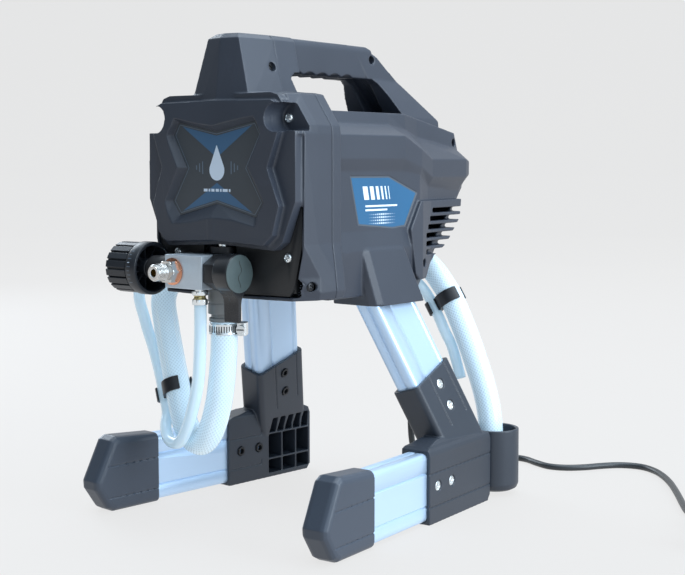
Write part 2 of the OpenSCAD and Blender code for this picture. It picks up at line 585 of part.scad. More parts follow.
/* involute spur gear outline with a tooth centred on angle a0 */
function roll(rb, r) = let (q = sqrt(max(0, r * r / (rb * rb) - 1))) q * 180 / PI - atan(q);
module gear(m, n, a0) {
  rp = m * n / 2;
  rb = rp * cos(25);
  rd = rp - 1.2 * m;
  half = 90 / n - 0.07 * m / rp * 180 / PI + roll(rb, rp);
  rs = [max(rd + 0.2 * m, rb), rp, rp + 0.9 * m];
  root = half - roll(rb, max(rd, rb));
  polygon([for (k = [0:n - 1]) let (c = a0 + 360 * k / n) each concat(
    [rd * [cos(c - root), sin(c - root)]],
    [for (r = rs) r * [cos(c - half + roll(rb, r)), sin(c - half + roll(rb, r))]],
    [for (i = [2:-1:0]) rs[i] * [cos(c + half - roll(rb, rs[i])), sin(c + half - roll(rb, rs[i]))]],
    [rd * [cos(c + root), sin(c + root)]])]);
}
line1 = atan2(idler_p[1] - motor_p[1], idler_p[0] - motor_p[0]);
line2 = atan2(crank_p[1] - idler_p[1], crank_p[0] - idler_p[0]);
mesh1 = line1;
module idler_gear() color([0.7, 0.68, 0.6]) at_body() translate(ring_place(idler_p)) {
  difference() {
    translate([0, gear1_y + gear1_w, 0]) rotate([90, 0, 0])
      linear_extrude(gear1_w) gear(gear_m1, idler_teeth, line1 + 180 + 180 / idler_teeth);
    for (a = [0:60:300]) rotate([0, a, 0]) translate([reach1 / 2, 0, 0]) rod_y(-100, -60, 9);
  }
  translate([0, gear2_y + gear2_w, 0]) rotate([90, 0, 0])
    linear_extrude(gear2_w) gear(gear_m2, idler_small_teeth, line2);
  rod_y(gear2_y - 1, gear1_y + e, 2 * (reach2 * idler_small_teeth / (idler_small_teeth + crank_teeth)) - 4);
  rod_y(gear1_y, plate_y1 + 1, shaft_d);
}
module crank_gear() color([0.62, 0.6, 0.55]) at_body() translate(ring_place(crank_p)) {
  difference() {
    union() {
      translate([0, gear2_y + gear2_w, 0]) rotate([90, 0, 0])
        linear_extrude(gear2_w) gear(gear_m2, crank_teeth, line2 + 180 + 180 / crank_teeth);
      rod_y(gear2_y - 2, gear2_y + e, 30);
      rod_y(gear2_y + gear2_w - e, plate_y0 - 1, 14);
      rod_y(gear2_y, plate_y1 + 1, shaft_d);
    }
    for (a = [60:60:300]) rotate([0, a, 0]) translate([20, 0, 0]) rod_y(-100, -60, 9);
    translate([0, 0, -stroke / 2]) rod_y(gear2_y - 3, gear2_y + 3, 9);
  }
}
yoke_y0 = pump_y - 3.5;
module crank_yoke() color([0.66, 0.67, 0.68]) at_body() translate([pump_x, 0, crank_z - stroke / 2]) {
  difference() {
    union() {
      translate([-20, yoke_y0, -10]) cube([40, 7, 20]);
      translate([-7, pump_y - 4.5, -10]) cube([14, 9, 12]);
    }
    rod_y(yoke_y0 - 3, yoke_y0 + 12, 8.1);
    translate([0, pump_y, -11]) cylinder(d = 6.1, h = 6);
  }
  rod_y(yoke_y0 + 0.5, gear2_y - 2 - touch, 8.1);
}
rod_bottom = 20;
module piston_rod() color([0.85, 0.86, 0.87]) at_body() translate([pump_x, pump_y, 0]) {
  translate([0, 0, rod_bottom]) cylinder(d = piston_d - 0.1, h = 22);
  translate([0, 0, rod_bottom + 20]) cylinder(d = 8, h = crank_z - stroke / 2 - 10 - rod_bottom - 20);
  translate([0, 0, crank_z - stroke / 2 - 11]) cylinder(d = 6, h = 5.9);
}

/* pump */
module pump_block() color([0.7, 0.72, 0.74]) at_body() difference() {
  union() {
    translate([block_x0 + 4, block_y0, block_z0]) cube([block_len - 4, block_side, block_side]);
    translate([0, valve_y, valve_z]) rod_x(block_x0, block_x0 + 10, block_side - 3);
    translate([pump_x - 14, valve_y, block_z0]) cube([28, pump_y + 10 - valve_y, block_side]);
  }
  translate([pump_x, pump_y, block_z0 - 1]) cylinder(d = piston_d, h = 60);
  translate([pump_x, pump_y, block_z1 - 2]) cylinder(d = piston_d + 3.1, h = 20);
  translate([0, valve_y, valve_z]) {
    rod_x(block_x1, hub_x1, block_side + 6);
    rod_x(block_x1 - 13, block_x1 + 1, 10.1);
    rod_x(block_x0 - 1, block_x0 + 5.6, 10.1);
    rod_x(block_x0 + 5, block_x1, 4);
  }
  translate([outlet_x, 0, valve_z]) rod_y(block_y0 - 1, block_y0 + 12, 12.1);
  translate([return_x, valve_y, block_z0 - 1]) cylinder(d = 8.1, h = 9);
  for (z = [23, 38]) translate([pump_x, 0, z]) rod_y(pump_y + 7.5, pump_y + 14, 4.1);
}
module pump_bolts() color([0.75, 0.76, 0.77]) at_body()
  for (z = [23, 38]) translate([pump_x, 0, z]) rod_y(pump_y + 7.6, -79, 4);
module packing_nut() color([0.16, 0.16, 0.17]) at_body() translate([pump_x, pump_y, 0]) difference() {
  union() {
    translate([0, 0, block_z1 + 1]) cylinder(d = 21, h = 5);
    translate([0, 0, block_z1 - 1.9]) cylinder(d = piston_d + 3, h = 3);
  }
  translate([0, 0, block_z1 - 4]) cylinder(d = piston_d + 0.1, h = 20);
}
module outlet_washer() color([0.8, 0.45, 0.3]) at_body() translate([outlet_x, 0, valve_z]) difference() {
  rod_y(block_y0 - washer_t, block_y0, 22);
  rod_y(block_y0 - 3, block_y0 + 1, 12.2);
}
module outlet_fitting() color([0.8, 0.8, 0.79]) at_body() translate([outlet_x, 0, valve_z]) difference() {
  union() {
    rod_y(block_y0 - washer_t - outlet_hex, block_y0 - washer_t, 19.6, 6);
    rod_y(outlet_tip, block_y0 - washer_t, outlet_d);
    rod_y(block_y0 - washer_t - e, block_y0 + 10, 12);
  }
  rod_y(outlet_tip - 1, block_y0 - 4, 7);
  rod_y(outlet_tip - 1, block_y0 + 4, 5);
  rod_y(block_y0 + 1, block_y0 + 11, ball_d + 1);
}
module outlet_seat() color([0.85, 0.85, 0.86]) at_body() translate([outlet_x, 0, valve_z]) difference() {
  rod_y(block_y0 + 10.1, block_y0 + 12, 12);
  rod_y(block_y0 + 9, block_y0 + 13, 5);
}
module outlet_ball() color([0.85, 0.86, 0.88]) at_body()
  translate([outlet_x, block_y0 + 10.1 - sqrt(pow(ball_d / 2, 2) - 2.5 * 2.5) - 0.15, valve_z]) sphere(d = ball_d);
module prime_valve_body() color([0.17, 0.17, 0.18]) at_body() translate([0, valve_y, valve_z]) {
  rod_x(block_x1 + 0.1, hub_x0 - touch, 28.8, 6);
  rod_x(block_x1 - 12, block_x1 + 1, 10);
  rod_x(hub_x0 - 1, hub_x1 - 3, 8);
}
module lever_tail() polygon([[-hub_d / 2 + 2, -3], [hub_d / 2 - 2, -3], [1.7, -hub_d / 2 - 4],
  [1.7, -tail_len], [-1.7, -tail_len], [-1.7, -hub_d / 2 - 4]]);
module prime_lever() color([0.07, 0.07, 0.075]) at_body() translate([0, valve_y, valve_z]) difference() {
  union() {
    rod_x(hub_x0, hub_x1 - 1, hub_d);
    along_x(hub_x0 + 0.3, hub_x1 - 1) lever_tail();
  }
  rod_x(hub_x0 - 1, hub_x1 - 2.5, 8 + 2 * run_gap);
}
module lever_cap() color([0.42, 0.46, 0.45]) at_body() translate([0, valve_y, valve_z])
  union() {
    rod_x(hub_x1 - 1, hub_x1, hub_d - 0.6);
    along_x(hub_x1 - 1, hub_x1) lever_tail();
  }
module pressure_sensor() color([0.1, 0.1, 0.11]) at_body() translate([0, valve_y, valve_z]) {
  rod_x(knob_x1 + 2, block_x0 - 0.1, 22);
  rod_x(block_x0 - 1, block_x0 + 5, 10);
  rod_x(knob_x0 + 10, knob_x1 + 3, 8);
}
module pressure_knob() color([0.09, 0.09, 0.1]) at_body() translate([0, valve_y, valve_z]) difference() {
  union() {
    rod_x(knob_x1 - 11, knob_x1, knob_d, 72);
    rod_x(knob_x0 + 3, knob_x1 - 10, knob_d - 2, 72);
    rod_x(knob_x0, knob_x0 + 3, knob_d - 8, 72);
  }
  difference() {
    rod_x(knob_x0 + 4, knob_x1 + 1, knob_d - 7, 72);
    rod_x(knob_x0, knob_x1 - 3, 16);
  }
  rod_x(knob_x0 + 9.5, knob_x1 + 1, 8 + 2 * run_gap);
  for (a = [0:20:340]) rotate([a, 0, 0]) translate([knob_x0 - 1, -0.9, knob_d / 2 - 2]) cube([22, 1.8, 3]);
}
module inlet_fitting() color([0.62, 0.63, 0.63]) at_body() translate([pump_x, pump_y, 0]) difference() {
  union() {
    translate([0, 0, inlet_z0 + 6]) cylinder(d = inlet_d, h = block_z0 - touch - inlet_z0 - 6);
    translate([0, 0, inlet_z0 + 3]) cylinder(d = inlet_d - 5, h = 4);
    translate([0, 0, inlet_z0]) cylinder(d = inlet_d - 1, h = 3.1);
    translate([0, 0, block_z0 - 1]) cylinder(d = piston_d - 0.1, h = 3);
  }
  translate([0, 0, inlet_z0 - 1]) cylinder(d = 8, h = 60);
  translate([0, 0, inlet_z0 + 10]) cylinder(d = ball_d + 1, h = 60);
}
module inlet_seat() color([0.85, 0.85, 0.86]) at_body() translate([pump_x, pump_y, 0]) difference() {
  translate([0, 0, inlet_z0 + 10]) cylinder(d = ball_d + 0.9, h = 2);
  translate([0, 0, inlet_z0 + 9]) cylinder(d = 5, h = 4);
}
module inlet_ball() color([0.85, 0.86, 0.88]) at_body()
  translate([pump_x, pump_y, inlet_z0 + 12 + sqrt(pow(ball_d / 2, 2) - 2.5 * 2.5) + 0.15]) sphere(d = ball_d);
clamp_z = -20.5;
clamp_w = 9;
module hose_clamp() color([0.72, 0.72, 0.7]) at_body() translate([pump_x, pump_y, 0]) {
  translate([0, 0, clamp_z]) difference() {
    cylinder(d = hose_d + 2.6, h = clamp_w);
    translate([0, 0, -1]) cylinder(d = hose_d + 0.4, h = clamp_w + 2);
  }
  rotate([0, 0, 30]) translate([hose_d / 2 + 1, -6, clamp_z - 1]) difference() {
    cube([7, 12, clamp_w + 2]);
    translate([3.6, -1, clamp_w / 2 + 1]) rotate([-90, 0, 0]) cylinder(d = 5.6, h = 20);
  }
  rotate([0, 0, 30]) translate([hose_d / 2 + 4.6, -10, clamp_z + clamp_w / 2]) rotate([-90, 0, 0]) {
    cylinder(d = 5.4, h = 18);
    cylinder(d = 7.6, h = 3.4, $fn = 6);
  }
}
module return_fitting() color([0.85, 0.86, 0.87]) at_body() translate([return_x, valve_y, 0]) {
  translate([0, 0, block_z0 - 13.3]) difference() {
    cylinder(d = 13.4, h = 4.4, $fn = 6);
    translate([0, 0, -1]) cylinder(d = 5, h = 8);
  }
  translate([0, 0, block_z0 - 9]) cylinder(d = 10.6, h = 3.6);
  translate([0, 0, block_z0 - 5.5]) cylinder(d = 13.4, h = 3, $fn = 6);
  translate([0, 0, block_z0 - 3]) cylinder(d = 8, h = 10);
}

/* legs and feet */
module extrusion_outline(w, shift, solid) difference() {
  rounded_rect(tube_t, w, 4.5);
  for (s = [-1, 1], y = [-14, 14]) translate([s * tube_t / 2, y + shift]) rotate(45) square(1.6, center = true);
  for (s = [-1, 1]) translate([0, s * w / 2]) rotate(45) square(1.6, center = true);
  if (!solid) rounded_rect(tube_t - 2 * tube_wall - 1.4, w - 2 * tube_wall - 1.4, 3);
}
module leg_outline(g, h, w = tube_w) linear_extrude(h) rounded_rect(tube_t + 2 * g, w + 2 * g, 4.5 + g);
module leg_tube_shape() leg_frame() difference() {
  linear_extrude(leg_len) extrusion_outline(tube_w, 5, false);
  for (z = leg_bolt_z) translate([0, 2.5, z]) rod_x(-20, 20, bolt_d + 0.2);
}
module foot_tube_shape() foot_frame() difference() {
  translate([0, -tube_start, foot_mid_z]) rotate([90, 0, 0]) linear_extrude(foot_len)
    extrusion_outline(foot_w, -1.5, false);
  for (s = foot_bolt_s) translate([0, -s, bolt_z]) rod_x(-20, 20, bolt_d + 0.2);
}
module leg_tube_right() color([0.8, 0.82, 0.84]) leg_tube_shape();
module leg_tube_left() color([0.8, 0.82, 0.84]) mirror([1, 0, 0]) leg_tube_shape();
module foot_tube_right() color([0.8, 0.82, 0.84]) foot_tube_shape();
module foot_tube_left() color([0.8, 0.82, 0.84]) mirror([1, 0, 0]) foot_tube_shape();

elbow_t = tube_t + 2 * elbow_wall;
elbow_h = foot_mid_z + foot_w / 2 + 4;
socket_w = tube_w + 2 * elbow_wall - 1;
// front view of the elbow's lower box, its top edges rounded off
module elbow_profile() polygon([for (q = [[0, 0], [elbow_t / 2, 0], [elbow_t / 2, elbow_h - 6], [elbow_t / 2 - 0.8,
  elbow_h - 3], [elbow_t / 2 - 2.6, elbow_h - 0.8], [elbow_t / 2 - 6, elbow_h + 0.4], [elbow_t / 2 - 9, elbow_h + 4],
  [-elbow_t / 2 + 3, elbow_h + 4], [-elbow_t / 2, elbow_h - 1], [-elbow_t / 2, 0]]) q]);
module elbow_shape() difference() {
  union() {
    foot_frame() intersection() {
      along_x(-elbow_t / 2, elbow_t / 2) polygon([[-elbow_front, 0], [-elbow_front, elbow_h - 2],
        [-elbow_front + 5, elbow_h], [-64, elbow_h + 0.8], [-52, elbow_h + 3.2], [-34, elbow_h + 3.6],
        [elbow_rear - 8, elbow_h], [elbow_rear - 2, elbow_h - 2.5], [elbow_rear, elbow_h - 8],
        [elbow_rear, 5], [elbow_rear - 4, 0]]);
      along_y(-100, 60) elbow_profile();
    }
    intersection() {
      leg_frame() translate([0, 0, -45]) linear_extrude(45 + socket_len) rounded_rect(elbow_t, socket_w, 5);
      foot_frame() translate([-60, -140, 30]) cube([59.5 + elbow_t / 2, 139.5 + elbow_rear, 200]);
    }
  }
  leg_frame() translate([0, 0, -0.3]) leg_outline(fit_gap, leg_len);
  foot_frame() translate([0, -tube_start + 0.3, foot_mid_z]) rotate([90, 0, 0]) leg_outline(fit_gap, 90, foot_w);
  foot_frame() {
    for (s = foot_bolt_s) translate([0, -s, bolt_z]) {
      rod_x(-20, 20, bolt_d + 0.2);
      rod_x(elbow_t / 2 - 1.8, 20, 9.6);
      rod_x(-20, -elbow_t / 2 + 1.8, 9.4, 6);
    }
    for (z = [42.5, 14.5]) translate([0, 0, z]) {
      translate([elbow_t / 2 - 0.9, -elbow_front - 1, -0.7]) cube([2, elbow_front + elbow_rear + 2, 1.4]);
      translate([-elbow_t / 2 - 1.1, -elbow_front - 1, -0.7]) cube([2, 42, 1.4]);
      translate([-elbow_t / 2 - 1.1, -elbow_front + 40, z > 30 ? -0.7 : 0]) cube([2, 1.4, 5]);
    }
    for (c = [[-27, -10.4], [-8.6, 8], [9.8, 26]], r = [[4, 16.6], [18.4, 41]])
      translate([-elbow_t, c[0], r[0]]) cube([elbow_t * 1.5 - 3.4, c[1] - c[0], r[1] - r[0]]);
    for (i = [0:4]) along_x(-elbow_t, elbow_t / 2 - 3.4) polygon([[-27 + i * 10.7, 42.8], [-18.1 + i * 10.7, 42.8],
      [-18.8 + i * 10.7 + 0.5 * i, elbow_h - 6.5], [-26 + i * 10.7 + 0.5 * i, elbow_h - 6.5]]);
  }
  leg_frame() {
    for (z = leg_bolt_z) translate([0, 2.5, z]) {
      rod_x(-24, 24, bolt_d + 0.2);
      rod_x(elbow_t / 2 - 1.8, 24, 9.6);
      rod_x(-24, -elbow_t / 2 + 1.8, 9.4, 6);
    }
    for (y = [-9, 19], x = [elbow_t / 2 - 0.9, -elbow_t / 2 - 1.1])
      translate([x, y - 0.7, 3]) cube([2, 1.4, 80]);
  }
}
module elbow_right() color([0.12, 0.12, 0.13]) elbow_shape();
module elbow_left() color([0.12, 0.12, 0.13]) mirror([1, 0, 0]) elbow_shape();

cap_t = tube_t + 2 * cap_wall;
cap_round = 5.5;
// outline with each corner cut off, a distance d from it along both edges
function cut(p, d) = [for (i = [0:len(p) - 1]) let (n = len(p), b = p[i], a = p[(i + n - 1) % n], c = p[(i + 1) % n])
  each [b + d * (a - b) / norm(a - b), b + d * (c - b) / norm(c - b)]];
cap_side = cut([[-cap_start + 12, 0], [-cap_start + 12, foot_mid_z + foot_w / 2 + 1.4],
  [-cap_tip + 20.5, foot_mid_z + foot_w / 2 + 5.5], [-cap_tip, 24.5], [-cap_tip + 16.5, 0]], 4);
function cap_ring(x, d) = [for (q = inset(cap_side, d)) [x, q[0], q[1]]];
module foot_cap_shape() foot_frame() difference() {
  skin([for (a = [0:30:90]) cap_ring(-cap_t / 2 + cap_round * (1 - cos(a)), cap_round * (1 - sin(a))),
    for (a = [90:-30:0]) cap_ring(cap_t / 2 - cap_round * (1 - cos(a)), cap_round * (1 - sin(a)))]);
  translate([-cap_t, -cap_start, -1]) cube([2 * cap_t, 30, 90]);
  translate([0, -cap_start + 10, foot_mid_z]) rotate([90, 0, 0])
    leg_outline(fit_gap, tube_start + foot_len - cap_start + 10 + touch, foot_w);
  for (z = [40.3, 12.6], x = [cap_t / 2 - 0.8, -cap_t / 2 - 1.2])
    translate([x, -cap_tip + 14, z - 0.7]) cube([2, 100, 1.4]);
}
module foot_cap_right() color([0.12, 0.12, 0.13]) foot_cap_shape();
module foot_cap_left() color([0.12, 0.12, 0.13]) mirror([1, 0, 0]) foot_cap_shape();

module bolt(head_x) difference() {
  union() {
    rod_x(-head_x - 0.2, head_x - 1.6, bolt_d);
    rod_x(head_x - 1.7, head_x - 0.1, 9);
  }
  for (a = [0, 90]) rotate([a, 0, 0]) translate([head_x - 0.9, -2.4, -0.5]) cube([2, 4.8, 1]);
}
module at_bolts() mirrored() {
  foot_frame() for (s = foot_bolt_s) translate([0, -s, bolt_z]) children();
  leg_frame() for (z = leg_bolt_z) translate([0, 2.5, z]) children();
}
module leg_bolts() color([0.82, 0.83, 0.84]) at_bolts() bolt(elbow_t / 2);
module leg_nuts() color([0.7, 0.71, 0.72]) at_bolts() difference() {
  rod_x(-elbow_t / 2 + 0.1 - 1.6, -elbow_t / 2 + 1.7, 9.2, 6);
  rod_x(-30, 0, bolt_d + 0.1);
}

module hose_cup() color([0.12, 0.12, 0.13]) {
  difference() {
    union() {
      translate([cup_x, cup_y, 0]) {
        translate([0, 0, cup_z]) cylinder(d1 = cup_d - 11, d2 = cup_d - 3, h = 2.1, $fn = 64);
        translate([0, 0, cup_z + 2]) cylinder(d1 = cup_d - 3, d2 = cup_d + 0.5, h = 4.1, $fn = 64);
        translate([0, 0, cup_z + 6]) cylinder(d1 = cup_d + 0.5, d2 = cup_d, h = cup_h - 6, $fn = 64);
      }
      foot_frame() translate([-8, elbow_rear + touch, cup_z + 8]) cube([16, 12, cup_h - 12]);
      foot_frame() translate([0, elbow_rear + 4, cup_z + cup_h - 14]) rod_y(0, 4, 14);
    }
    translate([cup_x, cup_y, cup_z + 4]) cylinder(d1 = cup_d - 9, d2 = cup_d - 2 * cup_wall, h = 5, $fn = 64);
    translate([cup_x, cup_y, cup_z + 8.9]) cylinder(d = cup_d - 2 * cup_wall, h = cup_h, $fn = 64);
  }
}

/* small fasteners of the housing */
module housing_screws() color([0.25, 0.25, 0.26]) at_body() {
  for (q = half_screws) translate([0, q[0], q[1]]) {
    rod_x(q[2], q[2] + 2.4, 7);
    rod_x(-6, q[2] + 1, 3.9);
  }
  translate([0, post_screw[0], post_screw[1]]) {
    rod_x(post_screw[2], post_screw[2] + 2.4, 7);
    rod_x(-12, post_screw[2] + 1, 3.9);
  }
}
module cover_screws() color([0.8, 0.81, 0.82]) at_body() {
  mirrored() {
    translate([upper_screw[0], 0, upper_screw[1]]) {
      rod_y(pocket_y - 2.6, pocket_y - 0.1, 7.6);
      rod_y(pocket_y - 1, seam_y + 14, 3.8);
    }
    translate([0, skirt_screw[0], skirt_screw[1]]) {
      rod_x(skirt_screw[2] + 0.1, skirt_screw[2] + 2.2, 7);
      rod_x(w2 - 24, skirt_screw[2] + 1, 3.9);
    }
  }
  for (q = lower_screws) translate([q[0], 0, q[1]]) {
    rod_y(plate_front - 2.5, plate_front - 0.1, 7.6);
    rod_y(plate_front - 1, plate_front + 6, 4);
  }
}

/* switch on the rear end of the housing */
module switch_bezel() color([0.08, 0.08, 0.085]) at_body() difference() {
  union() {
    translate([-19.7, rear_end - 2.9, 102.3]) cube([39.4, 2, 25.4]);
    translate([-10.7, rear_end - 14, 105.3]) cube([21.4, 12, 19.4]);
  }
  translate([-8.5, rear_end - 9, 106.5]) cube([17, 20, 17]);
  translate([0, rear_end - 5.5, 115]) rod_x(-9.6, 9.6, pin_d + 2 * run_gap);
}
pin_d = 3;
module switch_rocker() color([0.6, 0.08, 0.07]) at_body() translate([0, rear_end - 5.5, 115]) {
  rod_x(-9.5, 9.5, pin_d);
  along_x(-8.1, 8.1) polygon([[-1.5, -6], [5, -6.8], [3.6, 0.5], [2.2, 6.8], [-1.5, 6]]);
}

/* control board beside the motor */
module control_board() color([0.1, 0.35, 0.2]) at_body() translate([-w2 + 14.8, 0, 0]) {
  translate([0, -28.3, 62]) cube([1.6, 56.6, 42]);
  translate([1.5, -22, 68]) cube([12, 16, 20]);
  translate([1.5, 2, 66]) cube([9, 20, 14]);
}

/* hoses, clips and lead: route points, chosen by hand */
suction_route = [[-6, -102, 170], [-6, -102, 148], [-9, -102, 121], [-14, -101, 100], [-23, -100, 78],
  [-36, -97, 66], [-51, -93, 66], [-63, -90, 76], [-71, -87, 90], [-80, -83, 108], [-91, -78, 130],
  [-102, -73, 154], [-112, -66, 182], [-114, -42, 205], [-107, -12, 219], [-101, 32, 224],
  [-97, 74, 225], [-83, 115, 222], [-48, 138, 219], [-8, 135, 219], [28, 135, 205], [50, 135, 183],
  [62, 135, 164], [82, 135, 122], [98, 135, 74], [103, 134, 14]];
return_route = [[-13, -122, 184], [-13, -122, 166], [-14, -122, 144], [-17, -121, 123],
  [-25, -119, 100], [-36, -116, 79], [-49, -112, 66], [-64, -108, 65], [-79, -98, 73],
  [-88.6, -86.7, 83.9], [-95.7, -83.6, 98], [-102.7, -80.5, 112], [-112, -79, 134], [-122, -80, 160],
  [-130, -79, 186], [-130, -60, 210], [-127, -32, 220], [-120, 20, 213], [-118, 56, 209],
  [-108, 90, 205], [-84, 110, 202], [-50, 118, 200], [-14, 121, 198], [10, 124, 195], [25, 127, 186],
  [35.5, 130, 172.6], [45.2, 130, 157.3], [53, 130, 143], [60, 131, 130], [68, 134, 101]];
lead_route = [[0, 150, 234], [0, 150, 216], [0, 150, 180], [0, 150, 144], [0, 150, 108], [0, 150, 72], [0, 151, 40],
  [1, 155, 21], [4, 165, 8], [8, 180, 3], [14, 200, 3], [22, 222, 3], [31, 241, 3], [44, 256, 3], [62, 259, 3],
  [80, 251, 3], [98, 245, 3], [114, 250, 3], [127, 263, 3], [138, 280, 3], [151, 294, 3], [169, 299, 3],
  [187, 291, 3], [204, 275, 3], [220, 255, 3], [235, 233, 3], [249, 211, 3], [262, 190, 3], [275, 170, 3]];
module suction_hose() color([0.86, 0.93, 0.97]) tube(suction_route, hose_d / 2, 12);
module return_tube() color([0.86, 0.93, 0.97]) tube(return_route, return_d / 2, 10);

// the coil: in on the floor, a climb of half a turn, and out again on top
coil_r1 = coil_r0 + coil_turns * coil_pitch;
coil_way = [-sin(coil_a0), cos(coil_a0), 0];
coil_start = [coil_c[0] + coil_r1 * cos(coil_a0), coil_c[1] + coil_r1 * sin(coil_a0), lead_r];
lead_in = [for (t = [4, 1]) coil_start - t * lead_d * coil_way];
module mains_lead() color([0.1, 0.12, 0.13]) tube(concat(lead_route, lead_in), lead_r, 8);
coil_steps = round(24 * (2 * coil_turns + 0.5));
function coil_point(turn) = let (a = coil_a0 + 360 * turn, climb = min(max(turn - coil_turns, 0), 0.5),
    r = coil_r0 + coil_pitch * (turn < coil_turns ? coil_turns - turn : max(0, turn - coil_turns - 0.5))
      - coil_dip * sin(360 * climb))
  [coil_c[0] + r * cos(a), coil_c[1] + r * sin(a), lead_r + coil_layer * climb * 2];
coil_turning = [for (i = [0:coil_steps]) coil_point(i / 24)];
coil_end = coil_turning[coil_steps];
coil_a1 = coil_a0 + 15 * coil_steps;
coil_out = [-sin(coil_a1), cos(coil_a1), 0];
coil_path = concat([coil_start - coil_way * lead_d], coil_turning, [coil_end + coil_out * coil_tail]);
coil_gap = min([for (i = [0:coil_steps], j = [i + 6:coil_steps]) if (j <= coil_steps)
  norm(coil_turning[i] - coil_turning[j])]) - lead_d;
echo(coil_gap = coil_gap);
module lead_coil() color([0.1, 0.12, 0.13]) tube(coil_path, lead_r, 6, [0, 0, 1]);
plug_at = coil_end + coil_out * coil_tail;
module mains_plug() color([0.08, 0.08, 0.085])
  translate([plug_at[0], plug_at[1], 0]) rotate([0, 0, coil_a1]) translate([0, 0, plug_at[2]]) {
    rod_y(0, 24.5, 7.4);
    translate([-14, 24, -plug_at[2]]) cube([28, 34, 2 * plug_at[2]]);
    for (z = [-6.35, 6.35]) translate([-8, 57, z - 0.75]) cube([6.35, 16.9, 1.5]);
    translate([7, 0, 0]) rod_y(57, 76, 4.8);
  }
module lead_gland() color([0.08, 0.08, 0.085]) translate([0, rear_end - 7, lead_route[0][2]]) difference() {
  union() {
    cylinder(d1 = lead_d + 2.4, d2 = 10, h = 30);
    translate([0, 0, 29]) cylinder(d = 10, h = belly_z + 99 - lead_route[0][2] - 29);
  }
}

// double clip that ties the return tube to the suction hose; its small ring opens at the angle given
module hose_clip(big, small, open) {
  way = suction_way(big);
  turn = atan2(way[1], way[0]);
  lean = acos(way[2]);
  v = small - big;
  across = [v[0] * cos(turn) + v[1] * sin(turn), v[1] * cos(turn) - v[0] * sin(turn)];
  level = [across[0] * cos(lean) - v[2] * sin(lean), across[1]];
  translate(big) rotate([0, lean, turn]) rotate([0, 0, atan2(level[1], level[0])])
    linear_extrude(12, center = true) difference() {
      union() {
        circle(hose_d / 2 + 2.4);
        translate([norm(level), 0]) circle(return_d / 2 + 2);
        translate([hose_d / 2 + 1, -2]) square([norm(level) - hose_d / 2 - return_d / 2 - 1, 4]);
      }
      circle(hose_d / 2 + 0.4);
      translate([norm(level), 0]) circle(return_d / 2 + 0.4);
      translate([-30, -7.5]) square([30, 15]);
      translate([norm(level), 0]) rotate(open) translate([0, -2.8]) square([9, 5.6]);
    }
}
// direction of the suction hose where it passes nearest a point
function suction_way(p) = let (mids = [for (i = [1:len(suction_route) - 1])
    norm((suction_route[i] + suction_route[i - 1]) / 2 - p)], i = [for (k = [0:len(mids) - 1])
    if (mids[k] == min(mids)) k][0], d = suction_route[i + 1] - suction_route[i]) d / norm(d);
function between(p, i, t) = p[i] + t * (p[i + 1] - p[i]);
module hose_clips() color([0.06, 0.06, 0.065]) {
  hose_clip(between(suction_route, 8, 0.9), return_route[10], 105);
  hose_clip(between(suction_route, 21, 0.45), between(return_route, 25, 0.5), -105);
}

front_cover();
star_badge();
rear_housing_right();
rear_housing_left();
side_panel_right();
side_panel_left();
pump_plate();
gearbox_case();
motor_can();
motor_magnets();
motor_end_bell();
carbon_brushes();
shaft_bearings();
control_board();
pump_block();
packing_nut();
outlet_fitting();
outlet_washer();
outlet_seat();
prime_valve_body();
pressure_sensor();
inlet_fitting();
inlet_seat();
hose_clamp();
return_fitting();
leg_tube_right();
leg_tube_left();
foot_tube_right();
foot_tube_left();
elbow_right();
elbow_left();
foot_cap_right();
foot_cap_left();
hose_cup();
leg_bolts();
leg_nuts();
housing_screws();
cover_screws();
pump_bolts();
hose_clips();
suction_hose();
return_tube();
lead_gland();
mains_lead();
lead_coil();
mains_plug();
switch_bezel();
motor_shaft();
armature();
cooling_fan();
idler_gear();
crank_gear();
piston_rod();
crank_yoke();
pressure_knob();
prime_lever();
lever_cap();
switch_rocker();
inlet_ball();
outlet_ball();
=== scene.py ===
"""Airless paint sprayer: housing, pump, runners, hoses and lead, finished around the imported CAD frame.

Lengths in the part lists below are millimetres, as on a drawing; meshes are made in metres.
"""

import json
from contextlib import contextmanager
from math import cos, hypot, pi, radians, sin, sqrt

import bmesh
import bpy
import numpy as np
from mathutils import Matrix, Vector

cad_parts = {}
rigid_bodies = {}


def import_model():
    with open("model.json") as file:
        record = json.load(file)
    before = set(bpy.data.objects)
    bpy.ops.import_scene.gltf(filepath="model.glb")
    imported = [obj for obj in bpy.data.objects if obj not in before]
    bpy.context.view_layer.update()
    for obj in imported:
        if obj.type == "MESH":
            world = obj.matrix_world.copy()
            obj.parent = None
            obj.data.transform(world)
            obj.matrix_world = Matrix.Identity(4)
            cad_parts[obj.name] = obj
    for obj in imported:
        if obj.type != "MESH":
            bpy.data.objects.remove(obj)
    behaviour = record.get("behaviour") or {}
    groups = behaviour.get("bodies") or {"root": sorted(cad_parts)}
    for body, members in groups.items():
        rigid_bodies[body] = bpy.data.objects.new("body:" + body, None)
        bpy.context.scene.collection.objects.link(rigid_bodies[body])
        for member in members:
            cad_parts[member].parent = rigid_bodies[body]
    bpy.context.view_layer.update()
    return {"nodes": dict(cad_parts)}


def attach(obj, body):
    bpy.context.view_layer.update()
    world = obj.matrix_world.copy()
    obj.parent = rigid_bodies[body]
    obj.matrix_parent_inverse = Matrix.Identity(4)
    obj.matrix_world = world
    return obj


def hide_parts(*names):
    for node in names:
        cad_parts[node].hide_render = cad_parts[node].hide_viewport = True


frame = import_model()
MM = 0.001

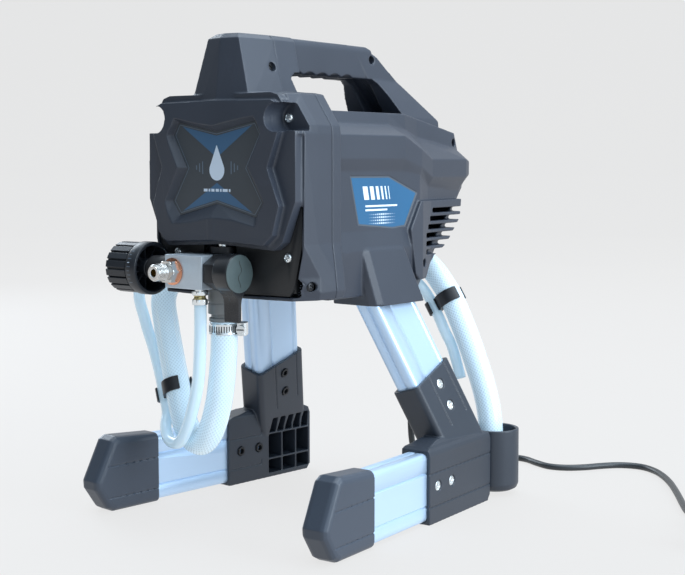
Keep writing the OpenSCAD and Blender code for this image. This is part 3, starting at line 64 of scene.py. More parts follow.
# ---------------------------------------------------------------- main sizes, as in the CAD part
BELLY = 180.0015  # underside of the housing above the floor
HALF_W = 82.0  # half the width of the front cover
LEG_SPLAY, LEG_RAKE, FOOT_TOE = 16.7, 21.0, 4.6
LEG_TURN = Matrix.Rotation(radians(-LEG_SPLAY), 4, "Y") @ Matrix.Rotation(radians(LEG_RAKE), 4, "X")
LEG_UP = LEG_TURN.to_3x3() @ Vector((0, 0, 1))
SEAT_Z = 70.5  # height of the leg's lower end, on its own axis
LEG_X0 = HALF_W - 15.7 - LEG_UP.x / LEG_UP.z * (BELLY - SEAT_Z)
LEG_Y0 = 20 - LEG_UP.y / LEG_UP.z * (BELLY - SEAT_Z)
FOOT_X, FOOT_Y = LEG_X0 + 6.35, LEG_Y0 + 15.15
PUMP_X, PUMP_Y = -6.0, -102.0
VALVE_Y, VALVE_Z = -122.0, BELLY + 31.2
OUTLET_X = -30.0
BLOCK_Y0 = VALVE_Y - 13.5
KNOB_X0, KNOB_X1, KNOB_D = -105.0, -66.0, 44.0
HUB_X0, HUB_X1, HUB_D = 14.3, 30.6, 31.0
HOSE_D, RETURN_D, LEAD_D = 22.0, 10.0, 6.0

SUCTION_ROUTE = [
    (-6, -102, 170), (-6, -102, 148), (-9, -102, 121), (-14, -101, 100), (-23, -100, 78), (-36, -97, 66),
    (-51, -93, 66), (-63, -90, 76), (-71, -87, 90), (-80, -83, 108), (-91, -78, 130), (-102, -73, 154),
    (-112, -66, 182), (-114, -42, 205), (-107, -12, 219), (-101, 32, 224), (-97, 74, 225), (-83, 115, 222),
    (-48, 138, 219), (-8, 135, 219), (28, 135, 205), (50, 135, 183), (62, 135, 164), (82, 135, 122),
    (98, 135, 74), (103, 134, 14),
]
RETURN_ROUTE = [
    (-13, -122, 184), (-13, -122, 166), (-14, -122, 144), (-17, -121, 123), (-25, -119, 100), (-36, -116, 79),
    (-49, -112, 66), (-64, -108, 65), (-79, -98, 73), (-88.6, -86.7, 83.9), (-95.7, -83.6, 98),
    (-102.7, -80.5, 112), (-112, -79, 134), (-122, -80, 160), (-130, -79, 186), (-130, -60, 210),
    (-127, -32, 220), (-120, 20, 213), (-118, 56, 209), (-108, 90, 205), (-84, 110, 202), (-50, 118, 200),
    (-14, 121, 198), (10, 124, 195), (25, 127, 186), (35.5, 130, 172.6), (45.2, 130, 157.3), (53, 130, 143),
    (60, 131, 130), (68, 134, 101),
]
LEAD_ROUTE = [
    (0, 150, 234), (0, 150, 216), (0, 150, 180), (0, 150, 144), (0, 150, 108), (0, 150, 72), (0, 151, 40),
    (1, 155, 21), (4, 165, 8), (8, 180, 3), (14, 200, 3), (22, 222, 3), (31, 241, 3), (44, 256, 3),
    (62, 259, 3), (80, 251, 3), (98, 245, 3), (114, 250, 3), (127, 263, 3), (138, 280, 3), (151, 294, 3),
    (169, 299, 3), (187, 291, 3), (204, 275, 3), (220, 255, 3), (235, 233, 3), (249, 211, 3),
    (262, 190, 3), (275, 170, 3),
]
COIL_CENTRE, COIL_R0, COIL_TURNS, COIL_PITCH, COIL_LAYER = (338, 156), 26.5, 2.25, 6.8, 7.0
COIL_DIP, COIL_START, COIL_TAIL, COIL_STEPS_PER_TURN = 1.5, 215.0, 12.0, 36


def coil_point(turn):
    """Centre of the lead after that many turns: in on the floor, half a turn up, and out again on top."""
    angle = radians(COIL_START + 360 * turn)
    climb = min(max(turn - COIL_TURNS, 0), 0.5)
    across = COIL_TURNS - turn if turn < COIL_TURNS else max(0, turn - COIL_TURNS - 0.5)
    radius = COIL_R0 + COIL_PITCH * across - COIL_DIP * sin(2 * pi * climb)
    return (
        COIL_CENTRE[0] + radius * cos(angle),
        COIL_CENTRE[1] + radius * sin(angle),
        LEAD_D / 2 + COIL_LAYER * climb * 2,
    )


def coil_way(angle):
    return Vector((-sin(radians(angle)), cos(radians(angle)), 0))


def smooth_line(points, per_span):
    """A rounded line through all points, as millimetres."""
    p = [Vector(q) for q in points]
    p = [2 * p[0] - p[1], *p, 2 * p[-1] - p[-2]]
    line = []
    for i in range(1, len(p) - 2):
        a, b, c, d = p[i - 1 : i + 3]
        ta = (c - a) * ((c - b).length / max((c - b).length + (b - a).length, 1e-6))
        tb = (d - b) * ((c - b).length / max((d - c).length + (c - b).length, 1e-6))
        for k in range(per_span):
            t = k / per_span
            t2, t3 = t * t, t * t * t
            line.append(
                (2 * t3 - 3 * t2 + 1) * b + (t3 - 2 * t2 + t) * ta + (3 * t2 - 2 * t3) * c + (t3 - t2) * tb
            )
    line.append(p[-2])
    return line


def linked(name, data):
    """A new object in the scene."""
    obj = bpy.data.objects.new(name, data)
    bpy.context.scene.collection.objects.link(obj)
    return obj


# ---------------------------------------------------------------- camera
camera = linked("camera", bpy.data.cameras.new("camera"))
bpy.context.scene.camera = camera
camera.location = (0.7527, -0.9003, 0.299)
VIEW_PITCH, VIEW_AZIMUTH = radians(5.3), radians(38.53)
camera.rotation_euler = (pi / 2 - VIEW_PITCH, 0, VIEW_AZIMUTH)
camera.data.lens = 71.47
camera.data.sensor_width = 36
camera.data.clip_start, camera.data.clip_end = 0.05, 30


# ---------------------------------------------------------------- finishes
class Value:
    """A number, colour or vector inside a finish. Python's operators add the Math nodes."""

    def __init__(self, finish, socket):
        self.finish, self.socket = finish, socket

    def maths(self, operation, *terms, clamp=False):
        return self.finish.add("ShaderNodeMath", {"operation": operation, "use_clamp": clamp}, *terms)

    def __add__(self, other):
        return self.maths("ADD", self, other)

    def __sub__(self, other):
        return self.maths("SUBTRACT", self, other)

    def __rsub__(self, other):
        return self.maths("SUBTRACT", other, self)

    def __mul__(self, other):
        return self.maths("MULTIPLY", self, other)

    def __lt__(self, other):
        return self.maths("LESS_THAN", self, other)

    __radd__, __rmul__ = __add__, __mul__

    def size(self):
        return self.maths("ABSOLUTE", self)

    def clamped(self):
        return self.maths("ADD", self, 0.0, clamp=True)

    def wave(self):
        return self.maths("SINE", self)

    def part(self):
        return self.maths("FRACT", self)

    def soft_step(self, low, high):
        """0 below low, 1 above high, and a smooth rise between."""
        return self.finish.add(
            "ShaderNodeMapRange", {"interpolation_type": "SMOOTHSTEP"}, self, low, high, 0.0, 1.0
        )


class Shading:
    """A tree of shader nodes being built."""

    def __init__(self, tree):
        self.tree = tree

    def plug(self, socket, value):
        if isinstance(value, Value):
            self.tree.links.new(value.socket, socket)
        elif socket.type == "RGBA" and len(value) == 3:
            socket.default_value = (*value, 1)
        else:
            socket.default_value = value

    def add(self, kind, settings, *values, out=0, **named):
        node = self.tree.nodes.new(kind)
        for key, setting in settings.items():
            setattr(node, key, setting)
        for socket, value in zip(node.inputs, values):
            self.plug(socket, value)
        for key, value in named.items():
            self.plug(node.inputs[key.replace("_", " ")], value)
        return Value(self, node.outputs[out])

    def place(self):
        return self.add("ShaderNodeTexCoord", {}, out="Object")

    def map_place(self):
        return self.add("ShaderNodeTexCoord", {}, out="UV")

    def split(self, vector):
        node = self.tree.nodes.new("ShaderNodeSeparateXYZ")
        self.plug(node.inputs[0], vector)
        return [Value(self, s) for s in node.outputs]

    def join(self, x, y, z=0.0):
        return self.add("ShaderNodeCombineXYZ", {}, x, y, z)

    def along(self, vector, way):
        return self.add("ShaderNodeVectorMath", {"operation": "DOT_PRODUCT"}, vector, tuple(way), out="Value")

    def noise(self, vector, scale, detail=2.0, rough=0.5):
        return self.add("ShaderNodeTexNoise", {}, vector, Scale=scale, Detail=detail, Roughness=rough)

    def mix(self, mask, first, second):
        node = self.tree.nodes.new("ShaderNodeMix")
        node.data_type = "RGBA"
        self.plug(node.inputs[0], mask)
        self.plug(node.inputs[6], first)
        self.plug(node.inputs[7], second)
        return Value(self, node.outputs[2])


class Finish(Shading):
    """A material being built, with one principled shader."""

    def __init__(self, name, slot=None):
        self.material = bpy.data.materials.new(name)
        self.material.use_nodes = True
        super().__init__(self.material.node_tree)
        self.tree.nodes.clear()
        self.slot, self.relief = slot, None
        output = self.tree.nodes.new("ShaderNodeOutputMaterial")
        self.shader = self.tree.nodes.new("ShaderNodeBsdfPrincipled")
        self.tree.links.new(self.shader.outputs[0], output.inputs[0])

    def bump(self, height, depth, strength=1.0):
        """Relief of that depth in metres; a second call adds to the first."""
        named = {} if self.relief is None else {"Normal": self.relief}
        named.update(Strength=strength, Distance=depth, Height=height)
        self.relief = self.add("ShaderNodeBump", {}, **named)
        self.plug(self.shader.inputs["Normal"], self.relief)

    def set(self, **sockets):
        for key, value in sockets.items():
            self.plug(self.shader.inputs[key.replace("_", " ")], value)


def tint(colour, factor):
    return tuple(min(1.0, c * factor) for c in colour)


def moulded(name, slot, colour, rough=0.44, grain=1500, depth=0.00005, gloss=0.5):
    """Injection-moulded plastic: fine spark-eroded grain, faint flow marks, dust and rubbed spots."""
    f = Finish(name, slot)
    at = f.place()
    fine, flow, dust = f.noise(at, grain, 2), f.noise(at, 18, 3), f.noise(at, 520, 4, 0.7)
    speck = dust.soft_step(0.70, 0.80)
    rub = f.noise(at, 55, 5, 0.65).soft_step(0.60, 0.78)
    f.set(
        Base_Color=f.mix(
            speck * 0.3 + rub * 0.16, f.mix(flow, tint(colour, 0.88), tint(colour, 1.14)), tint(colour, 1.9)
        ),
        Roughness=rough + (fine - 0.5) * 0.14 + (flow - 0.5) * 0.12 - rub * 0.06,
        Specular_IOR_Level=gloss,
    )
    f.bump(fine, depth, 0.6)
    f.bump(flow, 0.0002, 0.25)
    return f


def drawn_metal(name, slot, colour, way, rough=0.36):
    """Anodised extrusion: fine die lines that run along it."""
    f = Finish(name, slot)
    way = Vector(way).normalized()
    side = way.orthogonal().normalized()
    third = way.cross(side)
    at = f.place()
    u, v, w = f.along(at, side), f.along(at, third), f.along(at, way)
    lines = f.noise(f.join(u * 2600, v * 2600, w * 18), 1.0, 3, 0.6)
    cloud = f.noise(at, 22, 3)
    f.set(
        Base_Color=f.mix(lines * 0.5 + cloud * 0.4, tint(colour, 0.93), tint(colour, 1.05)),
        Metallic=0.55,
        Roughness=rough + (lines - 0.5) * 0.14 + (cloud - 0.5) * 0.08,
    )
    f.bump(lines, 0.00003, 0.5)
    return f


def metal(name, slot, colour, rough=0.28, grain=900, depth=0.00004, stain=0.25, metallic=1.0):
    """Turned, cast or plated metal: fine tool grain with slight clouding."""
    f = Finish(name, slot)
    at = f.place()
    fine, cloud = f.noise(at, grain, 3, 0.6), f.noise(at, 60, 3)
    f.set(
        Base_Color=f.mix(cloud * stain + fine * 0.15, colour, tint(colour, 0.62)),
        Metallic=metallic,
        Roughness=rough + (cloud - 0.5) * 0.14 + (fine - 0.5) * 0.12,
    )
    f.bump(fine, depth, 0.6)
    return f


def smooth_plastic(name, slot, colour, rough=0.3):
    f = Finish(name, slot)
    at = f.place()
    cloud, fine = f.noise(at, 40, 3), f.noise(at, 2200, 2)
    f.set(
        Base_Color=f.mix(cloud, tint(colour, 0.85), tint(colour, 1.15)),
        Roughness=rough + (cloud - 0.5) * 0.12 + (fine - 0.5) * 0.06,
    )
    f.bump(fine, 0.00002, 0.4)
    return f


def clear_hose(name, slot, turns_round, braided):
    """Clear PVC. Its map runs once round in x, and along in metres in y."""
    f = Finish(name, slot)
    x, y, _ = f.split(f.map_place())
    at = f.place()
    cloud, milk = f.noise(at, 30, 3), f.noise(at, 9, 2)
    colour = f.mix(cloud, (0.62, 0.78, 0.90), (0.74, 0.88, 0.97))
    rough = 0.16 + cloud * 0.1
    if braided:
        lean = y * (turns_round / 0.072)
        one = (x * turns_round + lean).part()
        two = (x * turns_round - lean).part()
        thread = (1 - (one - 0.5).size() * 2).soft_step(0.45, 0.8)
        cross = (1 - (two - 0.5).size() * 2).soft_step(0.45, 0.8)
        weave = thread.maths("MAXIMUM", thread, cross)
        clear = milk.soft_step(0.46, 0.62)
        gaps = (1 - weave) * (0.10 + clear * 0.32)
        colour = f.mix(gaps, colour, (0.46, 0.56, 0.68))
        rough = rough + weave * 0.14
        f.bump(weave, 0.00012, 0.3)
    # Painted highlight: bright streaks along the tube lift the colour towards near-white.
    painted_highlight_streaks = f.noise(f.join(x * 9, y * 7), 1.0, 3, 0.6).soft_step(0.50, 0.72)
    colour = f.mix(painted_highlight_streaks * 0.5, colour, (0.93, 1.0, 1.0))
    # The faint blue emission is painted light: it makes the hose glow though it is no lamp.
    f.set(
        Base_Color=colour, Roughness=rough, Transmission_Weight=0.12 if braided else 0.3, IOR=1.38,
        Coat_Weight=0.5, Coat_Roughness=0.08, Emission_Color=(0.60, 0.86, 1.0), Emission_Strength=0.10,
    )
    return f


def lever_face(name, slot, colour):
    """Cap of the prime lever, with a thin engraved wavy line across it."""
    f = Finish(name, slot)
    at = f.place()
    _, y, z = f.split(at)
    across = (z - VALVE_Z * MM) * 1000
    along = (y - VALVE_Y * MM) * 1000
    bend = (across * 0.42).wave() * 2.6 * (1 - (across * 0.075).size()).clamped()
    line = 1 - (along - bend).size().soft_step(0.22, 0.5)
    line = line * (across.size() < 10.5)
    fine, cloud = f.noise(at, 1600, 2), f.noise(at, 70, 4, 0.6)
    f.set(
        Base_Color=f.mix(line, f.mix(cloud, tint(colour, 0.8), tint(colour, 1.2)), (0.012, 0.016, 0.016)),
        Roughness=0.3 + cloud * 0.12 + line * 0.2,
    )
    f.bump(1 - line, 0.0004, 0.8)
    f.bump(fine, 0.00003, 0.4)
    return f


def printed(name, slot, colour, other):
    """Printed film under a clear lacquer: the tone runs softly across it."""
    f = Finish(name, slot)
    at = f.place()
    cloud, fine = f.noise(at, 12, 2), f.noise(at, 2600, 2)
    f.set(
        Base_Color=f.mix(cloud, colour, other), Roughness=0.36 + (fine - 0.5) * 0.08,
        Coat_Weight=0.3, Coat_Roughness=0.2,
    )
    f.bump(fine, 0.00001, 0.3)
    return f


TOE = Vector((sin(radians(FOOT_TOE)), -cos(radians(FOOT_TOE)), 0))
MIRROR = Vector((-1, 1, 1))
CHARCOAL = (0.0316, 0.0387, 0.0552)
SILVER = (0.55, 0.72, 0.93)
FINISHES = {
    "housing": (moulded, "charcoal_plastic", CHARCOAL),
    "runner": (moulded, "black_plastic", (0.024, 0.031, 0.044), 0.42),
    "foot_cap": (moulded, "black_plastic", (0.040, 0.052, 0.074), 0.40),
    "plate": (moulded, "black_steel", (0.010, 0.011, 0.013), 0.5),
    "knob": (moulded, "black_plastic", (0.012, 0.015, 0.021), 0.38, 2200),
    "hub": (smooth_plastic, "black_plastic", (0.014, 0.015, 0.018), 0.28),
    "clip": (smooth_plastic, "black_plastic", (0.012, 0.013, 0.016), 0.4),
    "leg_right": (drawn_metal, "aluminium", SILVER, LEG_UP),
    "leg_left": (drawn_metal, "aluminium", SILVER, LEG_UP * MIRROR),
    "foot_right": (drawn_metal, "aluminium", SILVER, TOE),
    "foot_left": (drawn_metal, "aluminium", SILVER, TOE * MIRROR),
    "cast": (metal, "cast_metal", (0.60, 0.68, 0.76), 0.42, 420, 0.00016, 0.25, 0.6),
    "steel": (metal, "steel", (0.72, 0.71, 0.69), 0.2, 700),
    "zinc": (metal, "steel", (0.80, 0.84, 0.86), 0.24, 1200, 0.00003, 0.2, 0.9),
    "chrome": (metal, "chrome", (0.82, 0.86, 0.88), 0.12, 1200, 0.00002, 0.15),
    "brass": (metal, "steel", (0.60, 0.50, 0.24), 0.24),
    "copper": (metal, "copper", (0.86, 0.42, 0.27), 0.26),
    "dark_steel": (metal, "black_steel", (0.035, 0.036, 0.040), 0.4, 700, 0.00005, 0.3, 0.6),
    "motor": (metal, "motor_steel", (0.20, 0.21, 0.22), 0.4),
    "magnet": (metal, "magnet", (0.05, 0.05, 0.055), 0.6, 500, 0.0001, 0.3, 0.3),
    "winding": (metal, "winding", (0.60, 0.26, 0.12), 0.32, 300, 0.0003, 0.4),
    "carbon": (metal, "carbon", (0.015, 0.015, 0.016), 0.6, 900, 0.0001, 0.3, 0.1),
    "board": (smooth_plastic, "circuit_board", (0.012, 0.085, 0.035), 0.35),
    "bell": (moulded, "black_plastic", (0.016, 0.016, 0.018), 0.5),
    "grey_moulding": (moulded, "grey_plastic", (0.16, 0.17, 0.175), 0.4, 900),
    "rocker": (smooth_plastic, "red_plastic", (0.42, 0.012, 0.010), 0.24),
    "cap": (lever_face, "grey_plastic", (0.066, 0.092, 0.096)),
    "cable": (smooth_plastic, "black_rubber", (0.022, 0.026, 0.030), 0.38),
    "braided": (clear_hose, "clear_hose", 22, True),
    "clear": (clear_hose, "clear_hose", 8, False),
    "badge_grey": (printed, "grey_plastic", (0.033, 0.042, 0.053), (0.046, 0.056, 0.068)),
    "badge_blue": (printed, "blue_label", (0.026, 0.085, 0.180), (0.040, 0.120, 0.230)),
    "badge_pale": (printed, "aluminium", (0.50, 0.62, 0.76), (0.62, 0.72, 0.84)),
    "badge_line": (printed, "grey_plastic", (0.090, 0.125, 0.170), (0.110, 0.150, 0.200)),
    "panel_grey": (printed, "grey_plastic", (0.060, 0.078, 0.100), (0.080, 0.100, 0.125)),
    "panel_blue": (printed, "blue_label", (0.006, 0.080, 0.190), (0.014, 0.125, 0.265)),
    "panel_white": (printed, "aluminium", (0.66, 0.76, 0.84), (0.78, 0.86, 0.92)),
}
finishes = {name: make(name + "_finish", *values) for name, (make, *values) in FINISHES.items()}
BODIES = {"pressure_knob": "knob", "prime_lever": "lever", "lever_cap": "lever", "switch_rocker": "rocker"}


def use(obj, name):
    """Gives a piece a finish."""
    obj.data.materials.clear()
    obj.data.materials.append(finishes[name].material)
    return obj


# ---------------------------------------------------------------- mesh helpers
AXES = {
    "x": (Vector((1, 0, 0)), Vector((0, 1, 0)), Vector((0, 0, 1))),
    "y": (Vector((0, 1, 0)), Vector((0, 0, 1)), Vector((1, 0, 0))),
    "z": (Vector((0, 0, 1)), Vector((1, 0, 0)), Vector((0, 1, 0))),
}


def piece(name, points, faces, smooth=True):
    mesh = bpy.data.meshes.new(name)
    mesh.from_pydata([tuple(p) for p in points], [], faces, shade_flat=not smooth)
    mesh.update()
    return linked(name, mesh)


@contextmanager
def reworked(obj):
    """Opens an object's mesh for editing and writes it back after."""
    bm = bmesh.new()
    bm.from_mesh(obj.data)
    yield bm
    bm.to_mesh(obj.data)
    bm.free()


def finish_mesh(obj, angle=32, merge=1e-6):
    """Merges doubles, turns faces outwards and keeps only the sharp edges sharp."""
    with reworked(obj) as bm:
        bmesh.ops.remove_doubles(bm, verts=bm.verts, dist=merge)
        bmesh.ops.recalc_face_normals(bm, faces=bm.faces)
        for face in bm.faces:
            face.smooth = True
    obj.data.set_sharp_from_angle(angle=radians(angle))
    return obj


def skinned(name, rings, closed=False, angle=32):
    """A skin over rings of equal count, given in millimetres; closed joins the last ring to the first."""
    n, m = len(rings[0]), len(rings)
    points = [Vector(q) * MM for ring in rings for q in ring]
    spans = m if closed else m - 1
    faces = [
        (i * n + k, i * n + (k + 1) % n, (i + 1) % m * n + (k + 1) % n, (i + 1) % m * n + k)
        for i in range(spans)
        for k in range(n)
    ]
    if not closed:
        faces += [tuple(reversed(range(n))), tuple(range((m - 1) * n, m * n))]
    return finish_mesh(piece(name, points, faces), angle)


def turned(name, centre, axis, profile, sides=64, closed=False, angle=32):
    """A turned part: profile lists (place along the axis, radius)."""
    way, up, side = AXES[axis]
    start = Vector(centre)
    turns = [2 * pi * k / sides for k in range(sides)]
    rings = [[start + way * s + r * (cos(a) * up + sin(a) * side) for a in turns] for s, r in profile]
    return skinned(name, rings, closed, angle)


def hexagon(name, centre, axis, s0, s1, across, bore=None, turn=0.0):
    """A hexagon nut or head with chamfered corners; across is measured over its corners."""
    way, up, side = AXES[axis]
    start, r, ease = Vector(centre), across / 2, 0.07 * across / 2
    turns = [radians(turn + 5 * k) for k in range(72)]

    def ring(s, cut):
        points = []
        for a in turns:
            reach = min(r * cos(pi / 6) / cos((a - radians(turn)) % (pi / 3) - pi / 6), cut)
            points.append(start + way * s + reach * (cos(a) * up + sin(a) * side))
        return points

    low, full = r * 0.90, r * 0.985
    step = ease if s1 > s0 else -ease
    rings = [ring(s0, low), ring(s0 + step, full), ring(s1 - step, full), ring(s1, low)]
    if bore:
        rings += [ring(s1, bore), ring(s0, bore)]
    return skinned(name, rings, bool(bore), 25)


def joined(name, parts):
    """Several pieces as one, each keeping its finish."""
    bm, kinds = bmesh.new(), []
    for part in parts:
        first = len(bm.faces)
        bm.from_mesh(part.data)
        bm.faces.ensure_lookup_table()
        for face in bm.faces[first:]:
            kind = part.data.materials[face.material_index]
            if kind not in kinds:
                kinds.append(kind)
            face.material_index = kinds.index(kind)
    mesh = bpy.data.meshes.new(name)
    bm.to_mesh(mesh)
    bm.free()
    for kind in kinds:
        mesh.materials.append(kind)
    whole = linked(name, mesh)
    for part in parts:
        bpy.data.objects.remove(part)
    return whole


def settle(obj):
    """Turns the evaluated object into a plain mesh and drops its modifiers."""
    bpy.context.view_layer.update()
    graph = bpy.context.evaluated_depsgraph_get()
    mesh = bpy.data.meshes.new_from_object(obj.evaluated_get(graph), depsgraph=graph)
    obj.modifiers.clear()
    old, obj.data = obj.data, mesh
    bpy.data.meshes.remove(old)
    mesh.name = obj.name
    return obj


def copied(name, node):
    """A merged copy of a CAD node's mesh as a new piece."""
    return finish_mesh(linked(name, frame["nodes"][node].data.copy()), 30, 1e-5)


def modifier(obj, kind, **settings):
    added = obj.modifiers.new(kind.lower(), kind)
    for key, value in settings.items():
        setattr(added, key, value)
    return added


def stands_for(obj, *nodes):
    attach(obj, BODIES.get(nodes[0], "frame"))
    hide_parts(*nodes)
    return obj


def softened(name, node, finish, voxel, rounds=6, keep=0.3, swell=0.0):
    """A moulding or casting with every edge rounded: remeshed, relaxed and thinned where it is flat.

    It swells before and shrinks after, in millimetres, so that a thin edge stays whole.
    """
    obj = copied(name, node)
    if swell:
        modifier(obj, "DISPLACE", strength=swell * MM, mid_level=0.0)
    modifier(obj, "REMESH", mode="VOXEL", voxel_size=voxel * MM, use_smooth_shade=True)
    modifier(obj, "SMOOTH", factor=0.5, iterations=rounds)
    if swell:
        modifier(obj, "DISPLACE", strength=-0.75 * swell * MM, mid_level=0.0)
    modifier(obj, "DECIMATE", ratio=keep)
    modifier(obj, "WEIGHTED_NORMAL", weight=60, keep_sharp=False)
    return stands_for(use(settle(obj), finish), node)


def eased(name, node, finish, width, sharp=32):
    """A machined or pressed part with its sharp edges broken."""
    obj = copied(name, node)
    with reworked(obj) as bm:
        bmesh.ops.dissolve_limit(bm, angle_limit=radians(1), verts=bm.verts, edges=bm.edges)
    if width:
        limit = radians(40)
        modifier(obj, "BEVEL", width=width * MM, segments=2, limit_method="ANGLE", angle_limit=limit)
    obj = settle(obj)
    obj.data.set_sharp_from_angle(angle=radians(sharp))
    return stands_for(use(obj, finish), node)


def repaint(obj, finish, test):
    """Gives another finish to the faces whose centre, in millimetres, passes the test."""
    obj.data.materials.append(finishes[finish].material)
    index = len(obj.data.materials) - 1
    for polygon in obj.data.polygons:
        if test(polygon.center / MM):
            polygon.material_index = index
    return obj


def hose_mesh(name, line, radius, sides, bore=None):
    """A tube on a line of millimetre points, with a map: once round in x, metres along in y.

    A bore is its radius and how many of the line's points it reaches back from the far end.
    """
    line = [Vector(p) * MM for p in line]
    radius *= MM
    ways = [(line[min(i + 1, len(line) - 1)] - line[max(i - 1, 0)]).normalized() for i in range(len(line))]
    up = ways[0].orthogonal().normalized()
    rings, along, run = [], [], 0.0
    for i, (p, way) in enumerate(zip(line, ways)):
        up = (up - way * up.dot(way)).normalized()
        other = way.cross(up)
        turns = [2 * pi * k / sides for k in range(sides)]
        rings.append([p + radius * (cos(a) * up + sin(a) * other) for a in turns])
        run += (p - line[i - 1]).length if i else 0.0
        along.append(run)
    if bore:
        for j in range(bore[1] + 1):
            i = len(line) - 1 - j
            rings.append([line[i] + (q - line[i]) * bore[0] * MM / radius for q in rings[i]])
            along.append(run - MM * j)
    faces, maps = [tuple(reversed(range(sides)))], [(0.5, 0.0)] * sides
    for i in range(len(rings) - 1):
        for k in range(sides):
            a, b = i * sides + k, i * sides + (k + 1) % sides
            faces.append((a, b, b + sides, a + sides))
            maps += [((k + u) / sides, along[i + v]) for u, v in ((0, 0), (1, 0), (1, 1), (0, 1))]
    last = (len(rings) - 1) * sides
    faces.append(tuple(range(last, last + sides)))
    maps += [(0.5, run)] * sides
    obj = piece(name, [q for ring in rings for q in ring], faces)
    layer = obj.data.uv_layers.new(name="UVMap")
    layer.data.foreach_set("uv", np.array(maps, np.float32).ravel())
    return obj, [tuple(p) for p in line], run


# ---------------------------------------------------------------- Geometry Nodes
class Tree:
    """A Geometry Nodes tree being built. Its sizes are named inputs."""

    KINDS = {int: "NodeSocketInt", float: "NodeSocketFloat"}

    def __init__(self, name, **inputs):
        self.group = bpy.data.node_groups.new(name, "GeometryNodeTree")
        face = self.group.interface
        face.new_socket("Geometry", in_out="OUTPUT", socket_type="NodeSocketGeometry")
        face.new_socket("Geometry", in_out="INPUT", socket_type="NodeSocketGeometry")
        self.ids = {}
        for key, value in inputs.items():
            kind = self.KINDS.get(type(value), "NodeSocketObject")
            socket = face.new_socket(key, in_out="INPUT", socket_type=kind)
            if kind != "NodeSocketObject":
                socket.default_value = value
            self.ids[key] = socket.identifier
        socket = face.new_socket("Material", in_out="INPUT", socket_type="NodeSocketMaterial")
        self.ids["Material"] = socket.identifier
        self.source = self.group.nodes.new("NodeGroupInput")
        self.sink = self.group.nodes.new("NodeGroupOutput")

    def __getitem__(self, key):
        return self.source.outputs[key]

    def plug(self, socket, value):
        if isinstance(value, bpy.types.NodeSocket):
            self.group.links.new(value, socket)
        else:
            socket.default_value = value

    def add(self, kind, settings, *values, out=0, **named):
        node = self.group.nodes.new(kind)
        for key, setting in settings.items():
            setattr(node, key, setting)
        for socket, value in zip(node.inputs, values):
            self.plug(socket, value)
        for key, value in named.items():
            self.plug(node.inputs[key.replace("_", " ")], value)
        return node.outputs[out]

    def maths(self, operation, *terms):
        return self.add("ShaderNodeMath", {"operation": operation}, *terms)

    def vector(self, x=0.0, y=0.0, z=0.0):
        return self.add("ShaderNodeCombineXYZ", {}, x, y, z)

    def turned_by(self, x=0.0, y=0.0, z=0.0):
        return self.add("FunctionNodeEulerToRotation", {}, self.vector(x, y, z))

    def close(self, geometry):
        real = self.add("GeometryNodeRealizeInstances", {}, geometry)
        painted = self.add("GeometryNodeSetMaterial", {}, real, Material=self["Material"])
        self.plug(self.sink.inputs[0], painted)

    def grow(self, name, finish, points=((0, 0, 0),), attributes=None, place=None, **values):
        """Runs the tree on points (in metres) and returns its result as a plain mesh."""
        obj = piece(name, points, [])
        for key, (kind, rows) in (attributes or {}).items():
            layer = obj.data.attributes.new(key, kind, "POINT")
            flat = np.array(rows, np.float32).ravel()
            layer.data.foreach_set("vector" if kind == "FLOAT_VECTOR" else "value", flat)
        added = obj.modifiers.new("nodes", "NODES")
        added.node_group = self.group
        for key, value in {**values, "Material": finishes[finish].material}.items():
            added[self.ids[key]] = value
        obj = use(settle(obj), finish)
        if place is not None:
            obj.data.transform(place)
        obj.data.polygons.foreach_set("material_index", [0] * len(obj.data.polygons))
        return obj


def ribs_tree():
    """Ribs, pads or slots in a ring round the z axis."""
    t = Tree("ring_of_ribs", Count=12, Radius=0.02, Length=0.01, Width=0.002, Height=0.001)
    ring = t.add("GeometryNodeMeshCircle", {}, Vertices=t["Count"], Radius=t["Radius"])
    block = t.add("GeometryNodeMeshCube", {}, Size=t.vector(t["Height"], t["Width"], t["Length"]))
    step = t.maths("DIVIDE", 2 * pi, t["Count"])
    turn = t.maths("MULTIPLY", t.add("GeometryNodeInputIndex", {}), step)
    t.close(t.add("GeometryNodeInstanceOnPoints", {}, ring, Instance=block, Rotation=t.turned_by(z=turn)))
    return t


def thread_tree():
    """A screw thread: a ridge wound up the z axis."""
    t = Tree("screw_thread", Turns=8.0, Radius=0.006, Length=0.012, Ridge=0.0008, Steps=40)
    path = t.add(
        "GeometryNodeCurveSpiral", {}, Resolution=t["Steps"], Rotations=t["Turns"], Start_Radius=t["Radius"],
        End_Radius=t["Radius"], Height=t["Length"],
    )
    ridge = t.add("GeometryNodeCurvePrimitiveCircle", {}, Resolution=4, Radius=t["Ridge"])
    t.close(t.add("GeometryNodeCurveToMesh", {}, path, ridge))
    return t


def fasteners_tree():
    """One fastener on each point, facing the way that the point's attribute gives."""
    t = Tree("fasteners", Head=None, Size=1.0)
    facing = t.add("GeometryNodeInputNamedAttribute", {"data_type": "FLOAT_VECTOR"}, "facing")
    turn = t.add("GeometryNodeInputNamedAttribute", {"data_type": "FLOAT"}, "turn")
    upright = t.add("FunctionNodeAlignRotationToVector", {"axis": "Z"}, Vector=facing)
    spun = t.add("FunctionNodeRotateRotation", {"rotation_space": "LOCAL"}, upright, t.turned_by(z=turn))
    head = t.add("GeometryNodeObjectInfo", {}, t["Head"], out="Geometry")
    cloud = t.add("GeometryNodeMeshToPoints", {}, t["Geometry"])
    size = t.vector(t["Size"], t["Size"], t["Size"])
    t.close(t.add("GeometryNodeInstanceOnPoints", {}, cloud, Instance=head, Rotation=spun, Scale=size))
    return t


